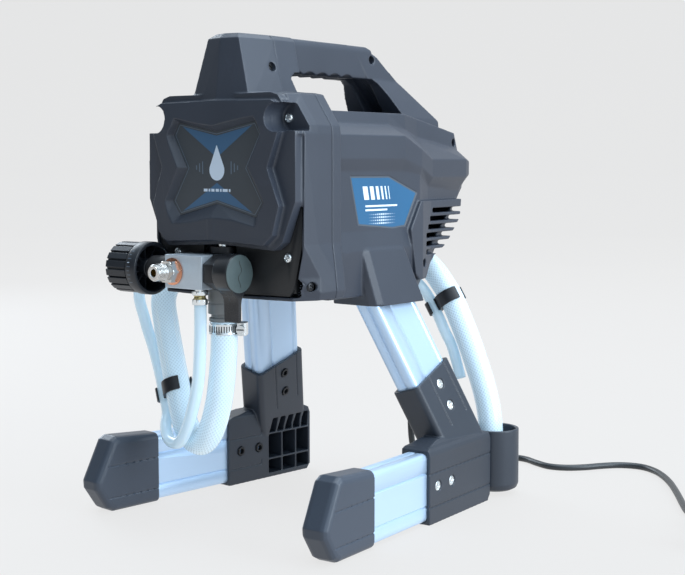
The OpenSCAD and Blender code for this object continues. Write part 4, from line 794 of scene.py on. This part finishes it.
def dots_tree():
    """Rows of flat dots in the xy plane that shrink away from the middle."""
    t = Tree("halftone_dots", Columns=9, Rows=9, Width=0.02, Depth=0.02, Dot=0.0006)
    grid = t.add(
        "GeometryNodeMeshGrid", {}, Size_X=t["Width"], Size_Y=t["Depth"], Vertices_X=t["Columns"],
        Vertices_Y=t["Rows"],
    )
    dot = t.add("GeometryNodeMeshCircle", {"fill_type": "NGON"}, Vertices=10, Radius=t["Dot"])
    place = t.add("GeometryNodeInputPosition", {})
    x = t.add("ShaderNodeSeparateXYZ", {}, place)
    far = t.maths("DIVIDE", t.maths("ABSOLUTE", x), t["Width"])
    size = t.maths("SUBTRACT", 1.1, t.maths("MULTIPLY", far, 1.7))
    t.close(t.add("GeometryNodeInstanceOnPoints", {}, grid, Instance=dot, Scale=t.vector(size, size, 1.0)))
    return t


ribs, threads, fasteners, dots = ribs_tree(), thread_tree(), fasteners_tree(), dots_tree()


def placed(x, y, z, axis="z", turn=0.0):
    """Matrix that takes the z axis to an axis of the frame, through a point in millimetres."""
    swing = {"x": (pi / 2, 4, "Y"), "y": (-pi / 2, 4, "X"), "z": (0, 4, "Z")}[axis]
    spin = Matrix.Rotation(radians(turn), 4, "Z")
    return Matrix.Translation(Vector((x, y, z)) * MM) @ Matrix.Rotation(*swing) @ spin


# ---------------------------------------------------------------- housing and runners
DETAIL = 1.0
softened("front_cover_moulding", "front_cover", "housing", 0.65 * DETAIL, 6, 0.18, 0.7)
for side in ("right", "left"):
    softened(f"rear_moulding_{side}", f"rear_housing_{side}", "housing", 0.8 * DETAIL, 4, 0.22)
eased("pump_plate_pressing", "pump_plate", "plate", 0.4)
for side in ("right", "left"):
    softened(f"elbow_moulding_{side}", f"elbow_{side}", "runner", 0.55 * DETAIL, 3, 0.22)
    softened(f"foot_cap_moulding_{side}", f"foot_cap_{side}", "foot_cap", 0.6 * DETAIL, 3, 0.25)
    eased(f"leg_extrusion_{side}", f"leg_tube_{side}", f"leg_{side}", 0, sharp=9)
    eased(f"foot_extrusion_{side}", f"foot_tube_{side}", f"foot_{side}", 0, sharp=9)
softened("cup_moulding", "hose_cup", "runner", 0.7 * DETAIL, 5, 0.25)
softened("clip_mouldings", "hose_clips", "clip", 0.4 * DETAIL, 3, 0.35)
softened("cast_pump_block", "pump_block", "cast", 0.5 * DETAIL, 4, 0.3)
eased("valve_hexagon", "prime_valve_body", "dark_steel", 0.7)
eased("switch_frame", "switch_bezel", "hub", 0.6)
eased("switch_paddle", "switch_rocker", "rocker", 0.5)


# ---------------------------------------------------------------- badge and side panels
def mirrored_outline(half):
    return [*reversed(half), *[(-x, z) for x, z in half if abs(x) > 1e-6]]


def drawn_in(outline, depth):
    """The outline moved inwards by a depth; it runs counter-clockwise."""
    n, moved = len(outline), []
    for i in range(n):
        a, b, c = (Vector(outline[j % n]) for j in (i - 1, i, i + 1))
        u, v = (b - a).normalized(), (c - b).normalized()
        nu, nv = Vector((-u.y, u.x)), Vector((-v.y, v.x))
        moved.append(tuple(b + (nu + nv) * depth / (1 + nu.dot(nv))))
    return moved


def flat(name, outline, lift, finish, spot, thick=0.0):
    """A flat printed shape; spot turns its (u, v, height) into a place."""
    n = len(outline)
    points = [Vector(spot(u, v, lift)) * MM for u, v in outline]
    faces = [tuple(range(n))]
    if thick:
        points += [Vector(spot(u, v, lift - thick)) * MM for u, v in outline]
        faces += [tuple(reversed(range(n, 2 * n)))]
        faces += [(k, n + k, n + (k + 1) % n, (k + 1) % n) for k in range(n)]
    obj = piece(name, points, faces, False)
    with reworked(obj) as bm:
        if thick:
            bmesh.ops.recalc_face_normals(bm, faces=bm.faces)
        bmesh.ops.triangulate(bm, faces=bm.faces)
    return use(obj, finish)


def oblong(u0, u1, v0, v1, lean=0.0):
    """Outline of an upright bar whose foot stands that far to the side of its top."""
    return [(u0 + lean, v0), (u1 + lean, v0), (u1, v1), (u0, v1)]


def band(name, outline, inner, lift, finish, spot):
    """A flat band between an outline and the same one drawn in."""
    n = len(outline)
    points = [Vector(spot(u, v, lift)) * MM for u, v in [*outline, *inner]]
    obj = piece(name, points, [(k, (k + 1) % n, n + (k + 1) % n, n + k) for k in range(n)], False)
    return use(obj, finish)


BADGE_Y = -115.0
STAR = mirrored_outline(
    [(0, 142.8), (41.7, 150.7), (48.3, 140), (33.5, 113.7), (50, 87), (41.3, 75), (0, 85.1)]
)


def on_badge(u, v, lift):
    return (u, BADGE_Y - lift, BELLY + v)


star = drawn_in(STAR, 0.35)
DROP_R, DROP_Z, DROP_TIP = 8.2, 112.0, 132.0
drop_turns = [radians(a) for a in range(-196, 29, 14)]
drop = [(DROP_R * cos(a), DROP_Z + DROP_R * sin(a)) for a in drop_turns] + [(0.0, DROP_TIP)]
parts = [
    flat("badge_plate", star, -0.02, "badge_grey", on_badge, 0.8),
    band("badge_edge", drawn_in(star, 1.6), drawn_in(star, 2.1), 0.04, "badge_line", on_badge),
    flat("badge_wedge_top", [(-38, 147), (0, 122), (38, 147), (0, 139.2)], 0.05, "badge_blue", on_badge),
    flat("badge_wedge_low", [(-38, 79), (0, 88.4), (38, 79), (0, 102)], 0.05, "badge_blue", on_badge),
    flat("badge_drop", drop, 0.13, "badge_pale", on_badge),
]
DASHES = [(-14.6, 4.2), (-9.2, 1.8), (-6.2, 3.4), (-1.4, 3.4), (3.2, 1.8), (6.2, 5.4), (12.8, 1.8)]
for k, (u, wide) in enumerate(DASHES):
    parts.append(flat(f"badge_dash_{k}", oblong(u, u + wide, 95.0, 97.2), 0.13, "badge_pale", on_badge))
for u in (-1, 1):
    for k in range(3):
        x0, x1 = sorted((u * (15.0 + 3.4 * k), u * (16.2 + 3.4 * k)))
        bar = oblong(x0, x1, 109 + 1.6 * k, 119 - 1.6 * k)
        parts.append(flat(f"badge_bar_{u}_{k}", bar, 0.13, "badge_line", on_badge))
stands_for(joined("badge_film", parts), "star_badge")

PANEL = [(-36, 107.3), (-25, 66.5), (22.7, 62.3), (40, 63.6), (58, 92.6), (17.4, 107)]
PANEL_X = HALF_W - 10.3
BAR_WIDTHS, BAR_GAP, BAR_LEAN = (6.5, 5.0, 3.8, 2.6, 1.6, 1.0), 3.0, 2.6
for side, hand in (("right", 1), ("left", -1)):

    def on_panel(u, v, lift, hand=hand):
        return (hand * (PANEL_X + lift), u, BELLY + v)

    edge = drawn_in(PANEL, 0.35)
    parts = [
        flat("panel_plate", edge, -0.02, "panel_grey", on_panel, 0.6),
        flat("panel_field", drawn_in(edge, 1.3), 0.05, "panel_blue", on_panel),
    ]
    u0 = -19.0
    for k, width in enumerate(BAR_WIDTHS):
        bar = oblong(u0, u0 + width, 87.5, 98.5, BAR_LEAN)
        parts.append(flat(f"panel_bar_{k}", bar, 0.12, "panel_white", on_panel))
        u0 += width + BAR_GAP
    for k, (v, length) in enumerate(((81.5, 44), (78.2, 30))):
        line = oblong(-15, -15 + length, v, v + 1.5)
        parts.append(flat(f"panel_stripe_{k}", line, 0.12, "panel_white", on_panel))
    if hand < 0:
        for part in parts:
            part.data.flip_normals()
    place = (
        Matrix.Translation(Vector((hand * (PANEL_X + 0.12), 8, BELLY + 71.5)) * MM)
        @ Matrix.Rotation(hand * pi / 2, 4, "Y")
        @ Matrix.Rotation(pi / 2, 4, "Z")
    )
    parts.append(dots.grow(
        "panel_dots", "panel_white", place=place, Columns=14, Rows=4, Width=0.034, Depth=0.0075, Dot=0.00085,
    ))
    stands_for(joined(f"panel_film_{side}", parts), f"side_panel_{side}")

# ---------------------------------------------------------------- knob and lever
knob_shell = use(
    turned(
        "knob_shell", (0, VALVE_Y, VALVE_Z), "x",
        [
            (KNOB_X0 + 0.02, 0), (KNOB_X0 + 0.02, 14.0), (KNOB_X0 + 0.5, 16.6), (KNOB_X0 + 1.6, 17.8),
            (KNOB_X0 + 2.6, 18.2), (KNOB_X0 + 3.2, 19.1), (KNOB_X1 - 12.2, 19.1), (KNOB_X1 - 11.6, 20.6),
            (KNOB_X1 - 11.0, 21.7), (KNOB_X1 - 10.4, 21.98), (KNOB_X1 - 1.2, 21.98), (KNOB_X1 - 0.4, 21.6),
            (KNOB_X1 - 0.05, 20.8), (KNOB_X1 - 0.05, 19.6), (KNOB_X1 - 0.9, 18.6), (KNOB_X0 + 5, 18.5),
            (KNOB_X0 + 5, 8.2), (KNOB_X1 - 3.4, 8.0), (KNOB_X1 - 3.0, 7.6), (KNOB_X1 - 3.0, 4.06),
            (KNOB_X0 + 9.6, 4.06), (KNOB_X0 + 9.6, 0),
        ],
        128,
    ),
    "knob",
)
knob_pads = ribs.grow(
    "knob_pads", "knob", place=placed(KNOB_X0 + 14.9, VALVE_Y, VALVE_Z, "x"), Count=18, Radius=0.0199,
    Length=0.0232, Width=0.0057, Height=0.0022,
)
modifier(knob_pads, "BEVEL", width=0.0005, segments=2, limit_method="ANGLE")
use(settle(knob_pads), "knob")
knob_webs = ribs.grow(
    "knob_webs", "knob", place=placed(KNOB_X0 + 17, VALVE_Y, VALVE_Z, "x"), Count=10, Radius=0.0132,
    Length=0.024, Width=0.0012, Height=0.0106,
)
knob_marks = []
for k in range(9):
    reach = 6.4 if k % 2 else 5.2
    turns = [radians(9 * k - 30) + side for side in (-0.012, 0.012)]
    corners = [
        Vector((x, VALVE_Y - KNOB_D / 2 * cos(a), VALVE_Z + KNOB_D / 2 * sin(a))) * MM
        for x in (KNOB_X1 - 9.0, KNOB_X1 - reach)
        for a in turns
    ]
    mark = piece(f"knob_mark_{k}", corners, [(0, 1, 3, 2)], False)
    knob_marks.append(use(mark, "badge_pale" if k == 5 else "badge_line"))
stands_for(joined("pressure_knob_grip", [knob_shell, knob_pads, knob_webs, *knob_marks]), "pressure_knob")


def tail_outline(shrink):
    """The prime lever's tail, from its hub down to the rounded tip."""
    w, low = HUB_D / 2 - 2.0 - shrink, -39.0 + shrink
    half = [(w, -3.0), (w - 0.9, -7.6), (w - 3.2, -11.4), (w - 6.6, -14.6), (w - 9.2, -17.4),
            (2.6 - shrink, -20.6), (1.9 - shrink * 0.6, -24.0), (1.7 - shrink * 0.6, low + 1.2),
            (1.0 - shrink * 0.3, low + 0.2)]
    return [*half, *[(-u, v) for u, v in reversed(half)]]


def lever_ring(x, shrink):
    return [(x, VALVE_Y + u, VALVE_Z + v) for u, v in tail_outline(shrink)]


lever = joined("prime_lever_handle", [
    use(turned(
        "lever_hub", (0, VALVE_Y, VALVE_Z), "x",
        [(HUB_X0, 4.06), (HUB_X0, 14.6), (HUB_X0 + 0.5, 15.2), (HUB_X0 + 1.2, 15.5), (HUB_X1 - 1.6, 15.5),
         (HUB_X1 - 1.02, 15.1), (HUB_X1 - 1.02, 0), (HUB_X1 - 2.6, 0), (HUB_X1 - 2.6, 4.06)], 96, True,
    ), "hub"),
    use(skinned("lever_tail", [lever_ring(HUB_X0 + 0.35, 0.7), lever_ring(HUB_X0 + 0.9, 0.1),
                               lever_ring(HUB_X1 - 1.5, 0.1), lever_ring(HUB_X1 - 1.05, 0.5)]), "hub"),
    use(turned("lever_dot", (22.4, VALVE_Y, VALVE_Z), "z",
               [(14.6, 1.6), (15.42, 1.5), (15.49, 0.9), (15.49, 0)], 20), "badge_pale"),
])
stands_for(lever, "prime_lever")
cap = joined("lever_cap_disc", [
    use(turned("cap_disc", (0, VALVE_Y, VALVE_Z), "x",
               [(HUB_X1 - 1.0, 0), (HUB_X1 - 1.0, 14.9), (HUB_X1 - 0.5, 15.2), (HUB_X1 - 0.1, 14.9),
                (HUB_X1 - 0.02, 14.2), (HUB_X1 - 0.02, 0)], 96), "cap"),
    use(skinned("cap_tail", [lever_ring(HUB_X1 - 1.0, 0.35), lever_ring(HUB_X1 - 0.4, 0.35),
                             lever_ring(HUB_X1 - 0.12, 0.8)]), "hub"),
])
stands_for(cap, "lever_cap")

# ---------------------------------------------------------------- outlet, return and inlet fittings
HEX_Y1 = BLOCK_Y0 - 1.2
HEX_Y0 = HEX_Y1 - 7
TIP_Y = HEX_Y0 - 13.8
outlet = joined("outlet_nipple", [
    use(turned(
        "outlet_body", (OUTLET_X, 0, VALVE_Z), "y",
        [(TIP_Y, 3.7), (TIP_Y, 5.6), (TIP_Y + 0.9, 6.25), (TIP_Y + 11.8, 6.25), (TIP_Y + 12.2, 5.9),
         (HEX_Y0 + 0.2, 5.9), (HEX_Y1 + 0.2, 5.9), (HEX_Y1 + 0.2, 0), (TIP_Y + 9, 0), (TIP_Y + 9, 2.2),
         (TIP_Y + 4.5, 3.0), (TIP_Y + 0.6, 3.1)],
        64, True,
    ), "steel"),
    use(hexagon("outlet_hex", (OUTLET_X, 0, VALVE_Z), "y", HEX_Y0, HEX_Y1, 19.6, turn=90), "steel"),
    threads.grow("outlet_thread", "steel", place=placed(OUTLET_X, TIP_Y + 0.9, VALVE_Z, "y"), Turns=7.5,
                 Radius=0.00612, Length=0.0106, Ridge=0.00072, Steps=48),
])


def in_bore(c):
    return hypot(c.x - OUTLET_X, c.z - VALVE_Z) < 3.3 and TIP_Y + 0.3 < c.y < TIP_Y + 9.1


repaint(outlet, "brass", in_bore)
stands_for(outlet, "outlet_fitting")
washer = use(turned(
    "sealing_washer", (OUTLET_X, 0, VALVE_Z), "y",
    [(HEX_Y1 + s, r) for s, r in (
        (0.05, 6.12), (0.02, 10.2), (0.2, 10.9), (0.45, 10.95), (0.6, 10.5), (0.75, 10.95), (1.0, 10.9),
        (1.17, 10.2), (1.15, 6.12))], 72, True), "copper")
stands_for(washer, "outlet_washer")

BLOCK_FOOT = (-13.3, VALVE_Y, VALVE_Z - 13.5)  # where the return line leaves the block
back_fitting = joined("return_elbow_nuts", [
    use(hexagon("return_nut_low", BLOCK_FOOT, "z", -13.3, -8.9, 13.4, 2.55), "chrome"),
    use(hexagon("return_nut_high", BLOCK_FOOT, "z", -5.5, -2.5, 13.4), "chrome"),
    use(turned("return_core", BLOCK_FOOT, "z",
               [(-9.0, 0), (-9.0, 5.2), (-8.4, 5.3), (-7.4, 4.7), (-6.6, 4.7), (-5.8, 5.3), (-5.4, 5.2),
                (-5.4, 0)], 48), "brass"),
    use(turned("return_stem", BLOCK_FOOT, "z", [(-2.6, 0), (-2.6, 4), (7, 4), (7, 0)], 40), "chrome"),
])
stands_for(back_fitting, "return_fitting")

inlet = use(turned(
    "inlet_socket", (PUMP_X, PUMP_Y, BELLY), "z",
    [(-10, 4.0), (-10, 11.6), (-9.6, 12.05), (-7.3, 12.05), (-7.0, 11.6), (-7.0, 10.3), (-4.2, 10.3),
     (-3.9, 12.2), (-3.4, 12.75), (4.4, 12.75), (4.9, 12.3), (6.0, 12.3), (6.5, 12.75), (16.6, 12.75),
     (17.3, 12.2), (17.35, 6.4), (19.6, 6.4), (19.6, 4.5), (0.2, 4.5), (0.2, 4.0)],
    72, True), "grey_moulding")
stands_for(inlet, "inlet_fitting")

# ---------------------------------------------------------------- clamp
CLAMP_Z, CLAMP_W = BELLY - 20.5, 9.0
clamp_parts = [
    use(turned(
        "clamp_band", (PUMP_X, PUMP_Y, CLAMP_Z), "z",
        [(0, 11.25), (0, 12.0), (0.5, 12.25), (1.2, 12.1), (CLAMP_W - 1.2, 12.1), (CLAMP_W - 0.5, 12.25),
         (CLAMP_W, 12.0), (CLAMP_W, 11.25)], 96, True), "zinc"),
    # Painted shade: thin dark strips on the band stand in for the shade inside its slots.
    ribs.grow("clamp_slots", "dark_steel", place=placed(PUMP_X, PUMP_Y, CLAMP_Z + CLAMP_W / 2, "z", 4),
              Count=36, Radius=0.01207, Length=0.0052, Width=0.0009, Height=0.0002),
]
swing = Matrix.Translation(Vector((PUMP_X, PUMP_Y, 0)) * MM) @ Matrix.Rotation(radians(30), 4, "Z")
SADDLE = [(0, -5.2), (5.2, -5.2), (6.6, -3.6), (6.6, 3.6), (5.2, 5.2), (0, 5.2)]
FULL_SADDLE = [(0, -6.0), (5.6, -6.0), (7.0, -4.2), (7.0, 4.2), (5.6, 6.0), (0, 6.0)]
saddle = skinned("clamp_saddle", [
    [(12.2 + u, v, CLAMP_Z - 1 + w) for u, v in ring]
    for w, ring in ((0.0, SADDLE), (0.5, FULL_SADDLE), (10.5, FULL_SADDLE), (11.0, SADDLE))
])
WORM_AT = (15.6, 0, CLAMP_Z + 4.5)
worm = joined("clamp_worm", [
    use(turned("worm_shank", WORM_AT, "y", [(-7, 0), (-7, 2.6), (7.4, 2.6), (8, 2.2), (8, 0)], 32), "zinc"),
    use(hexagon("worm_head", WORM_AT, "y", -10, -6.6, 7.6), "zinc"),
    # Painted shade: a thin dark plate on the head's face stands in for the shade in its slot.
    use(skinned("worm_slot", [
        [(WORM_AT[0] + u, s, WORM_AT[2] + w) for u, w in oblong(-3, 3, -0.5, 0.5)] for s in (-10.04, -9.4)
    ]), "dark_steel"),
])
for part in (use(saddle, "zinc"), worm):
    part.data.transform(swing)
    clamp_parts.append(part)
stands_for(joined("clamp_with_worm", clamp_parts), "hose_clamp")


# ---------------------------------------------------------------- screws, bolts and nuts
def cross_head(name, radius, height, recess):
    """A pan head of unit size in metres, facing +z, with a cross recess and a short shank."""
    sectors, levels = 32, 9
    rings = []
    for i in range(levels + 1):
        r = radius * i / levels
        ring = []
        crown = height * (sqrt(1 - (i / levels) ** 2 * 0.72) if i < levels else 0.30)
        for k in range(sectors):
            a = 2 * pi * k / sectors
            u, v = abs(r * cos(a)), abs(r * sin(a))
            arm = min(u, v) < radius * 0.17 and max(u, v) < radius * 0.60
            dip = recess * (1 - max(u, v) / radius * 0.9) if arm else 0.0
            ring.append((r * cos(a), r * sin(a), crown - dip))
        rings.append(ring)
    for spread, z in ((1.0, 0.0), (0.5, 0.0), (0.5, -height * 0.8)):
        rings.append([(x * spread, y * spread, z) for x, y, _ in rings[levels]])
    head = skinned(name, rings, False, 40)
    head.hide_render = True
    return head


def plain_nut(name, radius, height):
    nut = hexagon(name, (0, 0, 0), "z", 0, height, 2 * radius, radius * 0.56)
    nut.hide_render = True
    return nut


def row_of(name, finish, head, spots, nodes, size=1.0):
    """Fasteners at (place, facing, turn) spots, as one piece."""
    obj = fasteners.grow(
        name, finish, points=[Vector(p) * MM for p, _, _ in spots],
        attributes={
            "facing": ("FLOAT_VECTOR", [tuple(f) for _, f, _ in spots]),
            "turn": ("FLOAT", [t for _, _, t in spots]),
        },
        Head=head, Size=size,
    )
    obj.data.set_sharp_from_angle(angle=radians(40))
    return stands_for(obj, nodes)


def both_sides(spots):
    return spots + [(Vector(p) * MIRROR, Vector(f) * MIRROR, t + 0.7) for p, f, t in spots]


LEG_FRAME = Matrix.Translation((LEG_X0, LEG_Y0, SEAT_Z)) @ LEG_TURN
FOOT_FRAME = Matrix.Translation((FOOT_X, FOOT_Y, 0)) @ Matrix.Rotation(radians(FOOT_TOE), 4, "Z")
ELBOW_HALF = 13.7
bolt_spots, nut_spots = [], []
for frame_of, places in (
    (FOOT_FRAME, [(0, -40, 30.6), (0, -62.9, 30.6)]),
    (LEG_FRAME, [(0, 2.5, 17.5), (0, 2.5, 38.5)]),
):
    out = (frame_of.to_3x3() @ Vector((1, 0, 0))).normalized()
    for k, (x, y, z) in enumerate(places):
        spin = 0.5 + 1.1 * k + places[0][2] * 0.1
        bolt_spots.append((frame_of @ Vector((ELBOW_HALF - 1.75, y, z)), out, spin))
        nut_spots.append((frame_of @ Vector((-ELBOW_HALF + 1.7, y, z)), -out, 0.3 + k))
bolt_head = cross_head("bolt_head_pattern", 4.5, 1.6, 1.3)
nut_head = plain_nut("nut_pattern", 4.5, 2.9)
row_of("leg_bolt_heads", "zinc", bolt_head, both_sides(bolt_spots), "leg_bolts")
row_of("leg_nut_heads", "dark_steel", nut_head, both_sides(nut_spots), "leg_nuts")

screw_head = cross_head("screw_head_pattern", 3.7, 2.4, 1.5)
UPPER = (HALF_W - 21.4, 173 - 20.7)
SKIRT = (-94, 22)
PLATE_Y = -102.7
cover_spots = both_sides([
    (Vector((UPPER[0], -97.15, BELLY + UPPER[1])), Vector((0, -1, 0)), 0.4),
    (Vector((HALF_W - 4 + 0.1, SKIRT[0], BELLY + SKIRT[1])), Vector((1, 0, 0)), 0.9),
])
cover_spots += [
    (Vector((x, PLATE_Y - 0.15, BELLY + 44.3)), Vector((0, -1, 0)), t)
    for x, t in ((HALF_W - 18, 0.2), (26 - HALF_W, 1.0))
]
cover_heads = row_of("cover_screw_heads", "zinc", screw_head, cover_spots, "cover_screws")
repaint(cover_heads, "dark_steel", lambda c: abs(c.x) > HALF_W - 8 and c.z < BELLY + 32)
half_spots = [
    (Vector((x, y, BELLY + z)), Vector((1, 0, 0)), 0.3 * i)
    for i, (y, z, x) in enumerate([(65, 208, 11), (147, 136, 42), (67, 31, 60), (-78, 194, 22)])
]
row_of("housing_screw_heads", "dark_steel", screw_head, half_spots, "housing_screws")

# ---------------------------------------------------------------- hoses and lead
suction, suction_path, suction_length = hose_mesh(
    "suction_hose_braided", smooth_line(SUCTION_ROUTE, 8), HOSE_D / 2, 40, bore=(8.5, 3)
)
use(suction, "braided")
stands_for(suction, "suction_hose")

back_tube, back_path, back_length = hose_mesh(
    "return_tube_clear", smooth_line(RETURN_ROUTE, 8), RETURN_D / 2, 28, bore=(3.6, 12)
)
use(back_tube, "clear")
stands_for(back_tube, "return_tube")

coil_steps = round(COIL_STEPS_PER_TURN * (2 * COIL_TURNS + 0.5))
coil = [Vector(coil_point(i / COIL_STEPS_PER_TURN)) for i in range(coil_steps + 1)]
coil_end_angle = COIL_START + 360 * (2 * COIL_TURNS + 0.5)
plug_at = coil[-1] + coil_way(coil_end_angle) * COIL_TAIL
lead_in = [coil[0] - coil_way(COIL_START) * t * LEAD_D for t in (4, 1)]
lead_line = smooth_line([*LEAD_ROUTE, *lead_in], 4)[:-1] + coil + [plug_at]
lead_line = [Vector((p.x, p.y, max(p.z, LEAD_D / 2))) for p in lead_line]
lead, lead_path, lead_length = hose_mesh("mains_lead_sheath", lead_line, LEAD_D / 2, 16)
use(lead, "cable")
stands_for(lead, "mains_lead", "lead_coil")

# plug and gland
PLUG_WAY = coil_way(coil_end_angle)
plug_side = PLUG_WAY.cross(Vector((0, 0, 1)))


def in_plug(side, run, up):
    return plug_at + plug_side * side + PLUG_WAY * run + Vector((0, 0, up))


def plug_ring(run, half, tall, corner):
    """A rounded oblong across the plug, that far along it."""
    ring = []
    for cx, cy, a0 in ((1, 1, 0), (-1, 1, 90), (-1, -1, 180), (1, -1, 270)):
        for a in (0, 22.5, 45, 67.5, 90):
            t = radians(a0 + a)
            ring.append(in_plug(cx * (half - corner) + corner * cos(t), run,
                                cy * (tall - corner) + corner * sin(t)))
    return ring


PLUG_HALF = plug_at.z - 0.02  # half the plug's height, which lies on the floor
plug_parts = [use(skinned("plug_shell", [
    plug_ring(*sizes) for sizes in (
        (0.2, 3.2, 3.2, 3.0), (1.0, 3.7, 3.7, 3.4), (14, 3.7, 3.7, 3.4), (21, 3.9, 3.9, 3.6),
        (24.5, 8.6, 7.4, 4.5), (28, 12.6, PLUG_HALF * 0.93, 4.6), (33, 13.9, PLUG_HALF, 4.6),
        (52, 13.9, PLUG_HALF, 4.6), (56.6, 13.5, PLUG_HALF * 0.97, 4.2), (57.6, 12.6, PLUG_HALF * 0.9, 3.6),
    )
]), "clip")]
for run in (3.5, 7.0, 10.5, 14.0, 17.5):
    plug_parts.append(use(skinned(f"plug_relief_{run:g}", [
        plug_ring(run + s, half, half, corner)
        for s, half, corner in ((0, 3.8, 3.5), (0.4, 4.5, 4.0), (1.3, 4.5, 4.0), (1.7, 3.8, 3.5))]), "clip"))
for up in (-6.35, 6.35):
    plug_parts.append(use(skinned(f"plug_blade_{up:g}", [
        [in_plug(s, run, up + u) for s, u in oblong(-8 + e, -1.65 - e, -0.75 + e, 0.75 - e)]
        for run, e in ((57.2, 0.0), (73.0, 0.0), (73.9, 0.3))]), "brass"))
pin_turns = [radians(15 * k) for k in range(24)]
pin = skinned("plug_pin", [
    [in_plug(7 + r * cos(a), run, r * sin(a)) for a in pin_turns]
    for run, r in ((57.2, 2.4), (74.6, 2.4), (75.6, 1.9), (76, 1.0))])
plug_parts.append(use(pin, "brass"))
stands_for(joined("mains_plug_body", plug_parts), "mains_plug")

gland_profile = [(0, 0), (0, 3.9)]
for k in range(9):
    r = 4.2 + 0.085 * k
    rib = ((1, 0), (1.2, 0.3), (2.6, 0.3), (2.9, -0.25), (3.9, -0.2))
    gland_profile += [(s + 3.2 * k, r + rise) for s, rise in rib]
gland_profile += [(30.2, 5.0), (44.9, 5.0), (44.9, 0)]
gland = use(turned("lead_gland_sleeve", (0, 150, 234.05), "z", gland_profile, 48), "clip")
stands_for(gland, "lead_gland")

# ---------------------------------------------------------------- parts inside, as packed
for name, finish in {
    "gearbox_case": "cast", "motor_can": "motor", "motor_magnets": "magnet", "motor_end_bell": "bell",
    "carbon_brushes": "carbon", "shaft_bearings": "chrome", "control_board": "board",
    "packing_nut": "dark_steel",
    "outlet_seat": "steel", "pressure_sensor": "bell", "inlet_seat": "steel", "pump_bolts": "zinc",
    "motor_shaft": "steel", "armature": "winding", "cooling_fan": "bell", "idler_gear": "steel",
    "crank_gear": "steel", "piston_rod": "chrome", "crank_yoke": "cast", "inlet_ball": "chrome",
    "outlet_ball": "chrome",
}.items():
    use(frame["nodes"][name], finish)

for pattern in (bolt_head, nut_head, screw_head):
    bpy.data.objects.remove(pattern)

# ---------------------------------------------------------------- stage and light
SWEEP = [(3.2, 0.0), (-1.6, 0.0), (-2.6, 0.0), (-3.1, 0.06), (-3.5, 0.25), (-3.8, 0.6), (-3.95, 1.1),
         (-4.0, 2.2), (-4.0, 4.0)]
away = Vector((-sin(VIEW_AZIMUTH), cos(VIEW_AZIMUTH), 0))
across = Vector((cos(VIEW_AZIMUTH), sin(VIEW_AZIMUTH), 0))
sweep_points = [away * -u + across * s + Vector((0, 0, z)) for u, z in SWEEP for s in (-6, 6)]
sweep_faces = [(2 * i, 2 * i + 1, 2 * i + 3, 2 * i + 2) for i in range(len(SWEEP) - 1)]
sweep = piece("paper_sweep", sweep_points, sweep_faces)
paper = Finish("paper")
paper.set(
    Base_Color=paper.mix(paper.noise(paper.place(), 6, 2), (0.022, 0.022, 0.022), (0.026, 0.026, 0.026)),
    Roughness=0.9, Emission_Color=(0.783, 0.783, 0.783), Emission_Strength=0.955,
)
sweep.data.materials.append(paper.material)

world = bpy.data.worlds.new("studio")
bpy.context.scene.world = world
world.use_nodes = True
backdrop = world.node_tree.nodes["Background"]
backdrop.inputs["Color"].default_value = (0.74, 0.88, 1.0, 1)
sky = Shading(world.node_tree)
sky_way = sky.add("ShaderNodeTexCoord", {}, out="Generated")
glow = 0.26
for way, low, weight in (
    ((0.93, -0.10, 0.35), 0.2, 0.95), ((0.0, 0.1, 1.0), 0.1, 0.55), ((-0.45, -0.85, 0.05), 0.3, -0.16),
):
    glow = sky.along(sky_way, Vector(way).normalized()).soft_step(low, 1.0) * weight + glow
sky.plug(backdrop.inputs["Strength"], glow)


def softbox(name, place, aim, size, power, colour):
    data = bpy.data.lights.new(name, "AREA")
    data.shape, data.size, data.size_y = "RECTANGLE", *size
    data.energy, data.color = power, colour
    light = linked(name, data)
    light.location = place
    light.rotation_euler = (Vector(aim) - Vector(place)).to_track_quat("-Z", "Y").to_euler()


softbox("top_light", (0.2, 0.3, 2.2), (0, 0, 0.3), (2.0, 2.0), 50, (0.82, 0.92, 1.0))
softbox("right_light", (2.1, 0.3, 0.9), (0, 0, 0.25), (1.4, 1.6), 46, (0.82, 0.92, 1.0))
softbox("left_edge_light", (-1.8, 0.6, 1.0), (0, 0, 0.25), (0.8, 1.4), 18, (0.80, 0.90, 1.0))
bpy.context.scene.view_settings.view_transform = "Standard"
